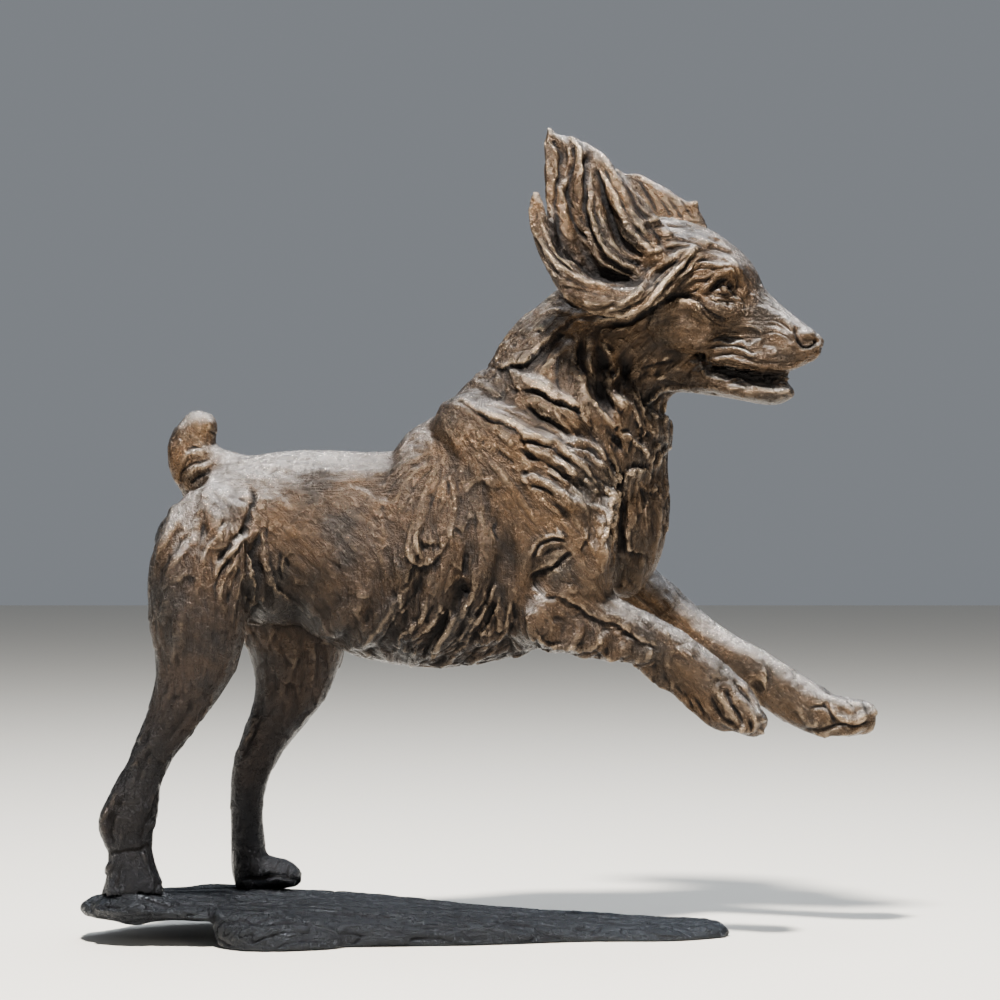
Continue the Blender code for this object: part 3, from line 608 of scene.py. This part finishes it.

# Painted shade: these strokes colour the bronze darker in the eye, nostril, mouth and ear, under the jaw,
# down the neck and chest and over the hind legs, and lift nothing.
PAINTED_SHADE_STROKES = [
    ridge(3.6, 1.4, 729, 279, 733, 285, 735, 291, 738, 296),
    ridge(2.8, 1.3, 710, 290, 716, 286, 722, 281, 729, 278),
    ridge(2.2, 1, 715, 293, 724, 296, 733, 294),
    dot(2.8, 0.9, 727, 288),
    ridge(3.4, 0.9, 698, 299, 706, 308, 715, 316, 725, 321),
    ridge(4, 0.9, 652, 308, 664, 299, 678, 296, 692, 297),
    ridge(3.4, 1.3, 817, 342, 810, 348, 803, 347, 798, 339),
    ridge(5, 1.3, 706, 365, 716, 369, 730, 373, 744, 377),
    ridge(9, 1.6, 730, 372, 746, 376, 764, 379, 786, 379),
    ridge(10, 1.2, 548, 204, 552, 226, 560, 244, 574, 260, 594, 272, 618, 279, 636, 282),
    ridge(4, 1, 588, 156, 586, 180, 586, 206, 592, 234, 608, 258, 632, 272),
    ridge(9, 1, 603, 340, 603, 360, 604, 382, 616, 404),
    ridge(8, 0.9, 626, 346, 628, 370, 630, 392, 642, 420),
    ridge(9, 1, 616, 470, 620, 492, 619, 520, 618, 552),
    ridge(26, 0.55, 552, 146, 568, 180, 586, 215, 614, 246),
    ridge(8, 0.5, 556, 282, 576, 294, 600, 300, 620, 298),
    ridge(15, 0.7, 636, 398, 664, 386, 690, 382, 718, 388),
    ridge(24, 0.5, 655, 424, 660, 480, 652, 540, 638, 584),
    ridge(34, 0.35, 196, 540, 200, 610, 214, 668),
    ridge(26, 0.6, 196, 690, 160, 740, 132, 800, 130, 862),
]
PLATE_STROKES = [
    ledge(9, 2.4, 120, 896, 148, 898, 163, 905, 186, 904, 212, 906),
    groove(4, 5, 212, 925, 212, 912, 220, 902, 236, 897, 262, 894),
    groove(3, 3.4, 228, 924, 240, 920, 256, 922, 272, 916, 288, 912),
    groove(2.6, 3, 240, 906, 262, 904, 290, 902, 320, 904),
    groove(2.6, 3, 262, 932, 276, 924, 296, 922, 316, 926),
    groove(2.6, 2.6, 96, 906, 116, 908, 136, 914, 158, 914),
    groove(2.4, 2.4, 164, 912, 182, 914, 202, 914),
    groove(3.2, 3, 146, 902, 150, 910, 150, 922),
    groove(2.6, 2.6, 330, 912, 380, 916, 430, 914, 480, 920),
    groove(2.4, 2.2, 400, 924, 450, 926, 520, 924, 590, 930),
    groove(2.4, 2.2, 560, 918, 610, 922, 660, 926, 700, 930),
    ledge(10, 2.4, 500, 912, 540, 916, 580, 914, 620, 920),
]


def project(co):
    """Where points fall on the image, and how far they are from the camera."""
    depth = co[:, 1] - CAMERA_AT[1]
    scale = FOCAL_PIXELS / depth
    middle = IMAGE_SIZE / 2
    right = middle + (co[:, 0] - CAMERA_AT[0]) * scale
    down = middle - (co[:, 2] - CAMERA_AT[2]) * scale
    return np.stack((right, down), 1), depth


def turn_head(co, degrees):
    """Turns points about the upright axis through the neck."""
    angle = math.radians(degrees)
    x, y = co[:, 0] - HEAD_PIVOT_X, co[:, 1]
    turned = co.copy()
    turned[:, 0] = HEAD_PIVOT_X + x * math.cos(angle) - y * math.sin(angle)
    turned[:, 1] = x * math.sin(angle) + y * math.cos(angle)
    return turned


class View:
    """A skin as it is seen in the image: directly, or with its far side mirrored to the front."""

    def __init__(self, skin, mirror=False, turned=0.0):
        co, ends = skin.co, skin.co + skin.normals * MM
        if mirror:
            co, ends = (turn_head(points, -turned) * (1, -1, 1) for points in (co, ends))
            co, ends = (turn_head(points, turned) for points in (co, ends))
        self.spots, depth = project(co)
        facing = -(ends - co)[:, 1] / MM
        cells = np.clip(self.spots.astype(int), 1, IMAGE_SIZE - 2)
        nearest = np.full((IMAGE_SIZE, IMAGE_SIZE), 10.0)
        np.minimum.at(nearest, (cells[:, 1], cells[:, 0]), depth)
        front = nearest.copy()
        for shift in itertools.product((-1, 0, 1), repeat=2):
            front = np.minimum(front, np.roll(nearest, shift, (0, 1)))
        seen = depth < front[cells[:, 1], cells[:, 0]] + HIDDEN_BEHIND
        self.strength = np.where(seen, np.clip(facing * 3, 0, 1), 0)


def smooth_path(points, steps=6):
    """A Catmull-Rom curve through the points."""
    points = np.array(points, float)
    padded = np.concatenate((2 * points[:1] - points[1:2], points, 2 * points[-1:] - points[-2:-1]))
    t = np.linspace(0, 1, steps, endpoint=False)[:, None]
    parts = []
    for a, b, c, d in zip(padded, padded[1:], padded[2:], padded[3:]):
        square, cube = 2 * a - 5 * b + 4 * c - d, 3 * b - a - 3 * c + d
        parts.append(0.5 * (2 * b + (c - a) * t + square * t**2 + cube * t**3))
    return np.concatenate(parts + [points[-1:]])


def unsteady(spots, reach):
    """Spots moved a little this way and that, so that no stroke runs quite true."""
    x, y = spots.T
    across = np.sin(0.13 * x + 0.09 * y) + 0.7 * np.sin(0.29 * y - 0.21 * x + 2)
    down = np.sin(0.11 * y - 0.14 * x + 1) + 0.7 * np.sin(0.27 * x + 0.19 * y)
    return spots + reach * np.stack((across, down), 1)


def stroke_height(spots, kind, width, rise, points):
    """How far one stroke lifts each spot, in millimetres."""
    if kind == "dot":
        gap = np.linalg.norm(spots - points[0], axis=1) / width
        return rise * np.clip(1 - gap**2, 0, 1)
    path = smooth_path(points)
    starts, ways = path[:-1], np.diff(path, axis=0)
    lengths = np.linalg.norm(ways, axis=1)
    gaps = spots[:, None] - starts[None]
    share = np.clip((gaps * ways).sum(2) / lengths**2, 0, 1)
    rest = gaps - share[:, :, None] * ways
    distance = np.linalg.norm(rest, axis=2)
    best = distance.argmin(1)
    rows = np.arange(len(spots))
    distance = distance[rows, best] / width
    passed = np.concatenate(([0], np.cumsum(lengths)))[best] + share[rows, best] * lengths[best]
    ends = np.clip(np.minimum(passed, lengths.sum() - passed) / (2 * width) + 0.15, 0, 1)
    if kind == "ridge":
        return 0.8 * rise * ends * np.clip(1 - distance**1.5, 0, 1)
    if kind == "groove":
        return -0.85 * rise * ends * np.clip(1 - distance, 0, 1)
    if kind == "comb":
        return -rise * (0.5 + 0.5 * np.cos(passed * 2.1)) * np.clip(3 - 3 * distance, 0, 1)
    way, rest = ways[best], rest[rows, best]
    right_hand = way[:, 0] * rest[:, 1] - way[:, 1] * rest[:, 0] > 0
    upper = 0.6 * rise * np.clip(1 - distance, 0, 1)
    lower = -0.5 * rise * np.clip(1 - distance * 2, 0, 1)
    return ends * np.where(right_hand, lower, upper)


def draw_strokes(view, strokes):
    """The height that the strokes give to every vertex, in metres."""
    height = np.zeros(len(view.spots))
    for kind, width, rise, points in strokes:
        first, last = points.min(0) - width - 2, points.max(0) + width + 2
        inside = (view.spots > first) & (view.spots < last)
        chosen = np.flatnonzero(inside.all(1) & (view.strength > 0))
        spots = unsteady(view.spots[chosen], min(0.9, 0.25 * width))
        height[chosen] += stroke_height(spots, kind, width, rise, points)
    return height * view.strength * MM


def read(items, name, kind, width=1):
    """What Blender holds under a name, as an array with an entry or a row for every item."""
    values = np.empty(len(items) * width, kind)
    items.foreach_get(name, values)
    return values.reshape(-1, width) if width > 1 else values


def vertex_places(mesh):
    return read(mesh.vertices, "co", float, 3)


class Skin:
    """A mesh as arrays, with what is needed to sculpt it."""

    def __init__(self, obj):
        self.mesh = obj.data
        self.co = vertex_places(self.mesh)
        self.links = self.find_links()
        self.near_counts = np.bincount(self.links.ravel(), minlength=len(self.co))
        self.read_normals()

    def find_links(self):
        """Pairs of neighbouring vertices: along every edge, and across both ways of every quad."""
        sizes = read(self.mesh.polygons, "loop_total", np.int32)
        starts = read(self.mesh.polygons, "loop_start", np.int32)
        corners = read(self.mesh.loops, "vertex_index", np.int32)
        quads = starts[sizes == 4]
        pairs = [read(self.mesh.edges, "vertices", np.int32, 2)]
        for a, b in ((0, 2), (1, 3)):
            pairs.append(np.stack((corners[quads + a], corners[quads + b]), 1))
        return np.concatenate(pairs)

    def read_normals(self):
        self.mesh.vertices.foreach_set("co", self.co.astype(np.float32).ravel())
        self.mesh.update()
        self.normals = read(self.mesh.vertices, "normal", np.float32, 3).astype(float)

    def gather(self, values, weights=None):
        """For each vertex, the sum of its neighbours' values, each times the weight of its link."""
        a, b = self.links.T
        if values.ndim == 2:
            return np.stack([self.gather(column, weights) for column in values.T], 1)
        there, back = values[b], values[a]
        if weights is not None:
            there, back = weights * there, weights * back
        return np.bincount(a, there, len(self.co)) + np.bincount(b, back, len(self.co))

    def blur(self, values, times):
        counts = self.near_counts if values.ndim == 1 else self.near_counts[:, None]
        for _ in range(times):
            values = 0.5 * values + 0.5 * self.gather(values) / counts
        return values

    def soften(self, times):
        """Smooths the surface without shrinking it."""
        for _ in range(times):
            for step in (0.5, -0.52):
                self.co += step * (self.gather(self.co) / self.near_counts[:, None] - self.co)
        self.read_normals()

    def displace(self, height):
        self.co += self.normals * height[:, None]
        self.read_normals()


def unit(ways):
    """The ways at a length of one."""
    return ways / (np.linalg.norm(ways, axis=1)[:, None] + 1e-9)


def hair_fields(skin, guides, spots):
    """The lie of the hair at every vertex, and the depths of its strands and locks in millimetres."""
    guides = np.array(guides)
    directions = guides[:, 2:4] / np.linalg.norm(guides[:, 2:4], axis=1)[:, None]
    values = np.concatenate((directions, guides[:, 4:6]), 1)
    total = np.zeros((len(spots), 4))
    weight_sum = np.zeros((len(spots), 1))
    for guide, value in zip(guides, values):
        gap = ((spots - guide[:2]) ** 2).sum(1)
        weight = (1 / (gap + 100) ** 1.5)[:, None]
        total += weight * value
        weight_sum += weight
    total /= weight_sum
    flow = np.stack((total[:, 0], np.zeros(len(spots)), -total[:, 1]), 1)
    flow -= skin.normals * (flow * skin.normals).sum(1)[:, None]
    return unit(flow), total[:, 2], total[:, 3]


def along_flow(skin, flow):
    """A weight for every link: high where it runs along the hair."""
    a, b = skin.links.T
    along, shared = unit(skin.co[b] - skin.co[a]), unit(flow[a] + flow[b])
    return np.abs((along * shared).sum(1)) ** 10 + 0.004


def streaks(skin, weights, spread, times, seed):
    """Noise drawn out along the lie of the hair, evened to a spread of one."""
    rng = np.random.default_rng(seed)
    noise = skin.blur(rng.standard_normal(len(skin.co)), spread)
    totals = skin.gather(np.ones(len(skin.co)), weights)
    for _ in range(times):
        noise = 0.3 * noise + 0.7 * skin.gather(noise, weights) / totals
    noise -= skin.blur(noise, 8 + 4 * spread)
    level = np.sqrt(skin.blur(noise**2, 20) + 1e-12)
    return noise / level


def scatter(cells, seed):
    """A number from 0 to 1 for every cell of a lattice, without a pattern."""
    mixed = np.sin(cells @ np.array((127.1, 311.7, 74.7)) + seed * 53.3) * 43758.5453
    return mixed - np.floor(mixed)


def pads(skin, flow, size, seed):
    """Overlapping pads of clay, drawn out along the hair: how high each spot of its pad stands."""
    nearest = np.full(len(skin.co), np.inf)
    height = np.zeros(len(skin.co))
    places = skin.co / size
    for step in itertools.product((-1, 0, 1), repeat=3):
        cells = np.floor(places) + step
        middles = cells + np.stack([scatter(cells, seed + k) for k in range(3)], 1)
        tilts = np.stack([scatter(cells, seed + k) for k in range(3, 6)], 1) - 0.5
        gaps = places - middles
        along = (gaps * flow).sum(1)
        distance = (gaps**2).sum(1) - 0.7 * along**2
        level = 1.6 * (gaps * tilts).sum(1) + 0.5 * along + 0.5 * scatter(cells, seed + 6)
        closer = distance < nearest
        nearest = np.where(closer, distance, nearest)
        height = np.where(closer, level, height)
    return height - skin.blur(height, 60)


def carved(noise, swell, cut, width):
    """The noise as a swelling, with a narrow parting along every line where it crosses zero."""
    return swell * noise - cut * np.exp(-((noise / width) ** 2))


def apply_modifiers(obj):
    depsgraph = bpy.context.evaluated_depsgraph_get()
    mesh = bpy.data.meshes.new_from_object(obj.evaluated_get(depsgraph))
    obj.modifiers.clear()
    old = obj.data
    obj.data = mesh
    bpy.data.meshes.remove(old)


def voxel_skin(obj, size):
    """Fuses an object's bodies into one even skin."""
    fuse = obj.modifiers.new("fuse", "REMESH")
    fuse.mode = "VOXEL"
    fuse.voxel_size = size
    apply_modifiers(obj)


def thin_out(obj, where, share=None, total=None):
    """Thins what where picks: to a share of its triangles, or the whole skin to a total."""
    obj.data.calc_loop_triangles()
    corners = read(obj.data.loop_triangles, "vertices", np.int32, 3)
    chosen = where(vertex_places(obj.data))
    if total is None:
        total = len(corners) - (1 - share) * chosen[corners].all(1).sum()
    if len(corners) <= total:
        return
    group = obj.vertex_groups.new(name="thinned")
    group.add(np.flatnonzero(chosen).tolist(), 1.0, "REPLACE")
    decimate = obj.modifiers.new("thin_out", "DECIMATE")
    decimate.ratio = total / len(corners)
    decimate.vertex_group = group.name
    apply_modifiers(obj)
    obj.vertex_groups.clear()


def on_face(places):
    return ((places > FACE_FROM) & (places < FACE_TO)).all(1)


def off_face(places):
    return ~on_face(places)


def on_far_side(places):
    return places[:, 1] > np.where(places[:, 0] > HEAD_FROM_X, FAR_SIDE_Y_OF_HEAD, FAR_SIDE_Y)


def everywhere(places):
    return np.ones(len(places), bool)


def refine(mesh, where):
    """Halves the spacing of the vertices in the chosen part of a skin."""
    fine = bmesh.new()
    fine.from_mesh(mesh)
    chosen = where(vertex_places(mesh))
    fine.verts.ensure_lookup_table()
    edges = [edge for edge in fine.edges if all(chosen[vert.index] for vert in edge.verts)]
    bmesh.ops.subdivide_edges(fine, edges=edges, cuts=1, use_grid_fill=True)
    fine.to_mesh(mesh)
    fine.free()


def store(mesh, name, values):
    attribute = mesh.attributes.new(name, "FLOAT", "POINT")
    attribute.data.foreach_set("value", np.clip(values, 0, 1).astype(np.float32))


def store_relief(skin):
    """Stores, at two scales, how far each vertex stands above (over 0.5) or below its surroundings."""
    fine = ((skin.co - skin.blur(skin.co, 5)) * skin.normals).sum(1)
    broad = ((skin.co - skin.blur(skin.co, 60)) * skin.normals).sum(1)
    store(skin.mesh, "fine_relief", skin.blur(fine, 1) / (1.0 * MM) * 0.5 + 0.5)
    store(skin.mesh, "broad_relief", broad / (4.0 * MM) * 0.5 + 0.5)


def store_flow(skin, flow):
    """Stores how well the hair agrees with each of four directions in the upright plane."""
    angle = np.arctan2(flow[:, 2], flow[:, 0])
    for degrees in BUMP_DIRECTIONS:
        agreement = np.clip(np.cos(2 * (angle - math.radians(degrees))), 0, 1)
        store(skin.mesh, "flow_%d" % degrees, agreement**2)


def copy_node(name, new_name):
    """A smoothed copy of a CAD node to sculpt on."""
    obj = bpy.data.objects.new(new_name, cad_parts[name].data.copy())
    bpy.context.scene.collection.objects.link(obj)
    mesh = bmesh.new()
    mesh.from_mesh(obj.data)
    bmesh.ops.remove_doubles(mesh, verts=mesh.verts, dist=1e-5)
    mesh.to_mesh(obj.data)
    mesh.free()
    round_off = obj.modifiers.new("round_off", "SUBSURF")
    round_off.levels = round_off.render_levels = ROUND_OFF_LEVELS
    apply_modifiers(obj)
    return obj


def plug(tree, socket, value):
    """Links an input to an output, or gives it a value."""
    if hasattr(value, "is_linked"):
        tree.links.new(value, socket)
    else:
        socket.default_value = value


def node(tree, kind, **values):
    """A new shader node, with its settings and its inputs given."""
    new = tree.nodes.new("ShaderNode" + kind)
    for name, value in values.items():
        if hasattr(new, name):
            setattr(new, name, value)
        else:
            plug(tree, new.inputs[name], value)
    return new


def stored(tree, name):
    return node(tree, "Attribute", attribute_name=name).outputs["Fac"]


def ramp(tree, source, stops):
    """Turns a value into a grey; a stop is its place and its grey."""
    ramp_node = node(tree, "ValToRGB", Fac=source)
    elements = ramp_node.color_ramp.elements
    while len(elements) < len(stops):
        elements.new(0.5)
    for element, (place, grey) in zip(elements, stops):
        element.position = place
        element.color = (grey, grey, grey, 1)
    return ramp_node.outputs["Color"]


def mix_colours(tree, kind, share, a, b):
    mixing = node(tree, "Mix", data_type="RGBA", blend_type=kind)
    for socket, value in ((mixing.inputs["Factor"], share), (mixing.inputs[6], a), (mixing.inputs[7], b)):
        plug(tree, socket, value)
    return mixing.outputs[2]


def math_node(tree, operation, a, b):
    sums = node(tree, "Math", operation=operation)
    plug(tree, sums.inputs[0], a)
    plug(tree, sums.inputs[1], b)
    return sums.outputs["Value"]


def noise_node(tree, scale, detail, stretch=(1, 1, 1), turn=0.0):
    """Noise in the object's own space, drawn out along axes turned in the upright plane."""
    place = node(tree, "TexCoord").outputs["Object"]
    turned = (0, -math.radians(turn), 0)
    mapping = node(tree, "Mapping", vector_type="TEXTURE", Scale=stretch, Rotation=turned, Vector=place)
    drawn_out = mapping.outputs["Vector"]
    texture = node(tree, "TexNoise", Scale=scale, Detail=detail, Roughness=0.6, Vector=drawn_out)
    return texture.outputs["Fac"]


def hair_noise(tree, scale):
    """Fine streaks about 0.5 that follow the stored directions of the hair."""
    total = 0.5
    for degrees in BUMP_DIRECTIONS:
        streak = math_node(tree, "SUBTRACT", noise_node(tree, scale, 3, (10, 1, 1), degrees), 0.5)
        part = math_node(tree, "MULTIPLY", streak, stored(tree, "flow_%d" % degrees))
        total = math_node(tree, "ADD", part, total)
    return total


def bronze(name, hollow, body, warm, dust_and_sheen, edge, low):
    """Patinated bronze: black in the hollows, brown on the forms, dust and a painted sheen of light above,
    bare on the ridges, with painted shade low down and along the painted shade strokes.
    """
    material = bpy.data.materials.new(name)
    material.use_nodes = True
    tree = material.node_tree
    shader = tree.nodes["Principled BSDF"].inputs
    makers = (stored, ramp, mix_colours, math_node, noise_node)
    value, band, mix, calc, noise = (partial(maker, tree) for maker in makers)
    normal = node(tree, "SeparateXYZ", Vector=node(tree, "NewGeometry").outputs["Normal"]).outputs
    place = node(tree, "SeparateXYZ", Vector=node(tree, "TexCoord").outputs["Object"]).outputs
    hair = hair_noise(tree, HAIR_SCALE)
    mottling = noise(MOTTLING_SCALE, 8)
    speckle = noise(SPECKLE_SCALE, 7)

    # The forms: brown in warmer and cooler patches, finely streaked.
    colour = mix("MIX", band(mottling, [(0.38, 0.0), (0.64, 1.0)]), body, warm)
    colour = mix("MULTIPLY", 0.45, colour, band(hair, [(0.40, 0.2), (0.53, 1.0)]))

    # Dust and a painted sheen of light from above lie on what faces up, more on the back, the muzzle and
    # the forelegs than on the neck.
    above = calc("MULTIPLY", calc("ADD", normal["Z"], mottling), 0.5)
    ahead = calc("SUBTRACT", calc("ADD", place["X"], 1.0), place["Z"])
    dust_and_sheen_by_place = band(ahead, [(0.36, 0.56), (0.44, 0.44), (0.56, 0.44), (0.66, 0.63)])
    above = calc("ADD", above, calc("SUBTRACT", dust_and_sheen_by_place, 0.5))
    # Mixes in the dust colour, which carries a painted sheen of light from above.
    colour = mix("MIX", band(above, [(0.48, 0.0), (0.78, 0.90)]), colour, dust_and_sheen)

    # The hind legs and the plate are dark, the lower the darker: painted shade.
    forward = calc("MULTIPLY", calc("MAXIMUM", place["X"], 0.0), 0.8)
    low_shade_share = band(calc("ADD", place["Z"], forward), [(0.04, 1.0), (0.22, 0.80), (0.48, 0.0)])
    colour = mix("MIX", low_shade_share, colour, low)

    # Hollows are black, and ridges are rubbed bare.
    fine = band(value("fine_relief"), [(0.18, 0.0), (0.52, 1.0)])
    broad = band(value("broad_relief"), [(0.12, 0.0), (0.56, 1.0)])
    open_share = mix("MULTIPLY", 1.0, fine, broad)
    colour = mix("MIX", open_share, hollow, colour)
    rubbed = calc("MULTIPLY", value("fine_relief"), calc("ADD", speckle, 0.5))
    # Less rubbed bare where the painted shade lies low down.
    rubbed = mix("MIX", low_shade_share, band(rubbed, [(0.60, 0.0), (0.95, 0.55)]), (0, 0, 0, 1))
    colour = mix("MIX", rubbed, colour, edge)
    # Painted shade: the strokes darken the colour towards the hollow colour.
    colour = mix("MIX", value("blackened"), colour, hollow)
    plug(tree, shader["Base Color"], colour)

    # Polished where it is open, dull in the hollows, with fine marks all over.
    gloss = mix("MULTIPLY", 0.5, open_share, band(speckle, [(0.40, 0.4), (0.60, 1.0)]))
    plug(tree, shader["Roughness"], band(gloss, [(0.0, 0.60), (1.0, 0.17)]))
    plug(tree, shader["Metallic"], METALLIC)
    height = calc("ADD", hair, calc("MULTIPLY", noise(GRAIN_SCALE, 6), 0.5))
    height = calc("ADD", height, calc("MULTIPLY", speckle, 1.4))
    bump = node(tree, "Bump", Strength=1.0, Distance=BUMP_DEPTH, Height=height)
    plug(tree, shader["Normal"], bump.outputs["Normal"])
    return material


def dress(obj, material, cad_node):
    obj.data.shade_smooth()
    obj.data.materials.clear()
    obj.data.materials.append(material)
    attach(obj, "root")
    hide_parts(cad_node)


def make_dog():
    dog = copy_node("dog", "dog_bronze")
    voxel_skin(dog, DOG_VOXEL)
    refine(dog.data, on_face)
    skin = Skin(dog)
    skin.soften(DOG_SOFTENED)
    mirrored = skin.co * np.where(skin.co[:, 1:2] > 0, (1, -1, 1), (1, 1, 1))
    flow, strand, lock = hair_fields(skin, HAIR, project(mirrored)[0])
    weights = along_flow(skin, flow)
    clumps = streaks(skin, weights, *CLUMPS)
    tresses = streaks(skin, weights, *TRESSES)
    skin.displace(lock * MM * carved(clumps, *DOG_LOCKS))
    skin.displace((PAD_ADDED + lock) * MM * PAD_HEIGHT * skin.blur(pads(skin, flow, *PADS), 1))
    direct = View(skin)
    height = draw_strokes(direct, FACE + EARS + NECK_AND_BODY + LEGS)
    far = skin.co[:, 1] > 0
    head = skin.co[:, 0] + skin.co[:, 2] > HEAD_STARTS
    height += np.where(far & ~head, draw_strokes(View(skin, True), NECK_AND_BODY), 0)
    height += np.where(far & head, draw_strokes(View(skin, True, HEAD_TURN), FACE), 0)
    skin.displace(height)
    finest = streaks(skin, weights, *FINEST)
    skin.displace(strand * MM * (carved(tresses, *DOG_STRANDS) + FINEST_STRANDS * finest))
    skin.displace(DAB_HEIGHT * skin.blur(pads(skin, flow, *DABS), 1))
    # Painted shade, drawn from the strokes on the near side and on the mirrored far side of the head.
    dark = draw_strokes(direct, PAINTED_SHADE_STROKES)
    dark += np.where(far & head, draw_strokes(View(skin, True, HEAD_TURN), PAINTED_SHADE_STROKES), 0)
    store(skin.mesh, "blackened", skin.blur(dark / MM, 1))
    store_relief(skin)
    store_flow(skin, flow)
    thin_out(dog, on_far_side, FAR_SIDE_KEEPS)
    thin_out(dog, on_face, FACE_KEEPS)
    thin_out(dog, off_face, total=DOG_TRIANGLES)
    dress(dog, bronze("brown_bronze", *DOG_COLOURS), "dog")


def make_plate():
    plate = copy_node("ground_base", "ground_plate")
    voxel_skin(plate, PLATE_VOXEL)
    skin = Skin(plate)
    skin.soften(PLATE_SOFTENED)
    flow, strand, lock = hair_fields(skin, PLATE_GRAIN, project(skin.co)[0])
    weights = along_flow(skin, flow)
    clumps = streaks(skin, weights, *PLATE_CLUMPS)
    tresses = streaks(skin, weights, *PLATE_TRESSES)
    rests = np.clip(skin.co[:, 2] / UNDERSIDE_FADE, 0, 1)
    skin.displace(rests * lock * MM * carved(clumps, *PLATE_LOCKS))
    skin.displace(rests * draw_strokes(View(skin), PLATE_STROKES))
    skin.displace(rests * strand * MM * carved(tresses, *PLATE_STRANDS))
    store_relief(skin)
    store_flow(skin, flow)
    thin_out(plate, everywhere, total=PLATE_TRIANGLES)
    dress(plate, bronze("dark_bronze", *PLATE_COLOURS), "ground_base")


def make_floor():
    bpy.ops.mesh.primitive_plane_add(size=FLOOR_SIZE, location=FLOOR_AT)
    floor = bpy.context.object
    floor.name = "floor"
    material = bpy.data.materials.new("pale_floor")
    material.use_nodes = True
    shader = material.node_tree.nodes["Principled BSDF"].inputs
    shader["Base Color"].default_value = FLOOR_COLOUR
    shader["Roughness"].default_value = FLOOR_ROUGHNESS
    floor.data.materials.append(material)


def make_lights():
    for name, place, target, size, energy, colour in LAMPS:
        light = bpy.data.lights.new(name, "AREA")
        light.shape = "DISK"
        light.size = size
        light.energy = energy
        light.color = colour
        lamp = bpy.data.objects.new(name, light)
        lamp.location = place
        lamp.rotation_mode = "QUATERNION"
        lamp.rotation_quaternion = (Vector(target) - Vector(place)).to_track_quat("-Z", "Y")
        bpy.context.scene.collection.objects.link(lamp)
    world = bpy.data.worlds.new("studio")
    world.use_nodes = True
    background = world.node_tree.nodes["Background"].inputs
    background["Color"].default_value = WORLD_COLOUR
    background["Strength"].default_value = WORLD_STRENGTH
    bpy.context.scene.world = world


def make_camera():
    data = bpy.data.cameras.new("camera")
    data.sensor_width = SENSOR_WIDTH
    data.lens = SENSOR_WIDTH * FOCAL_PIXELS / IMAGE_SIZE
    camera = bpy.data.objects.new("camera", data)
    camera.location = CAMERA_AT
    camera.rotation_euler = (math.pi / 2, 0, 0)
    bpy.context.scene.collection.objects.link(camera)
    bpy.context.scene.camera = camera


make_camera()
make_dog()
make_plate()
make_floor()
make_lights()
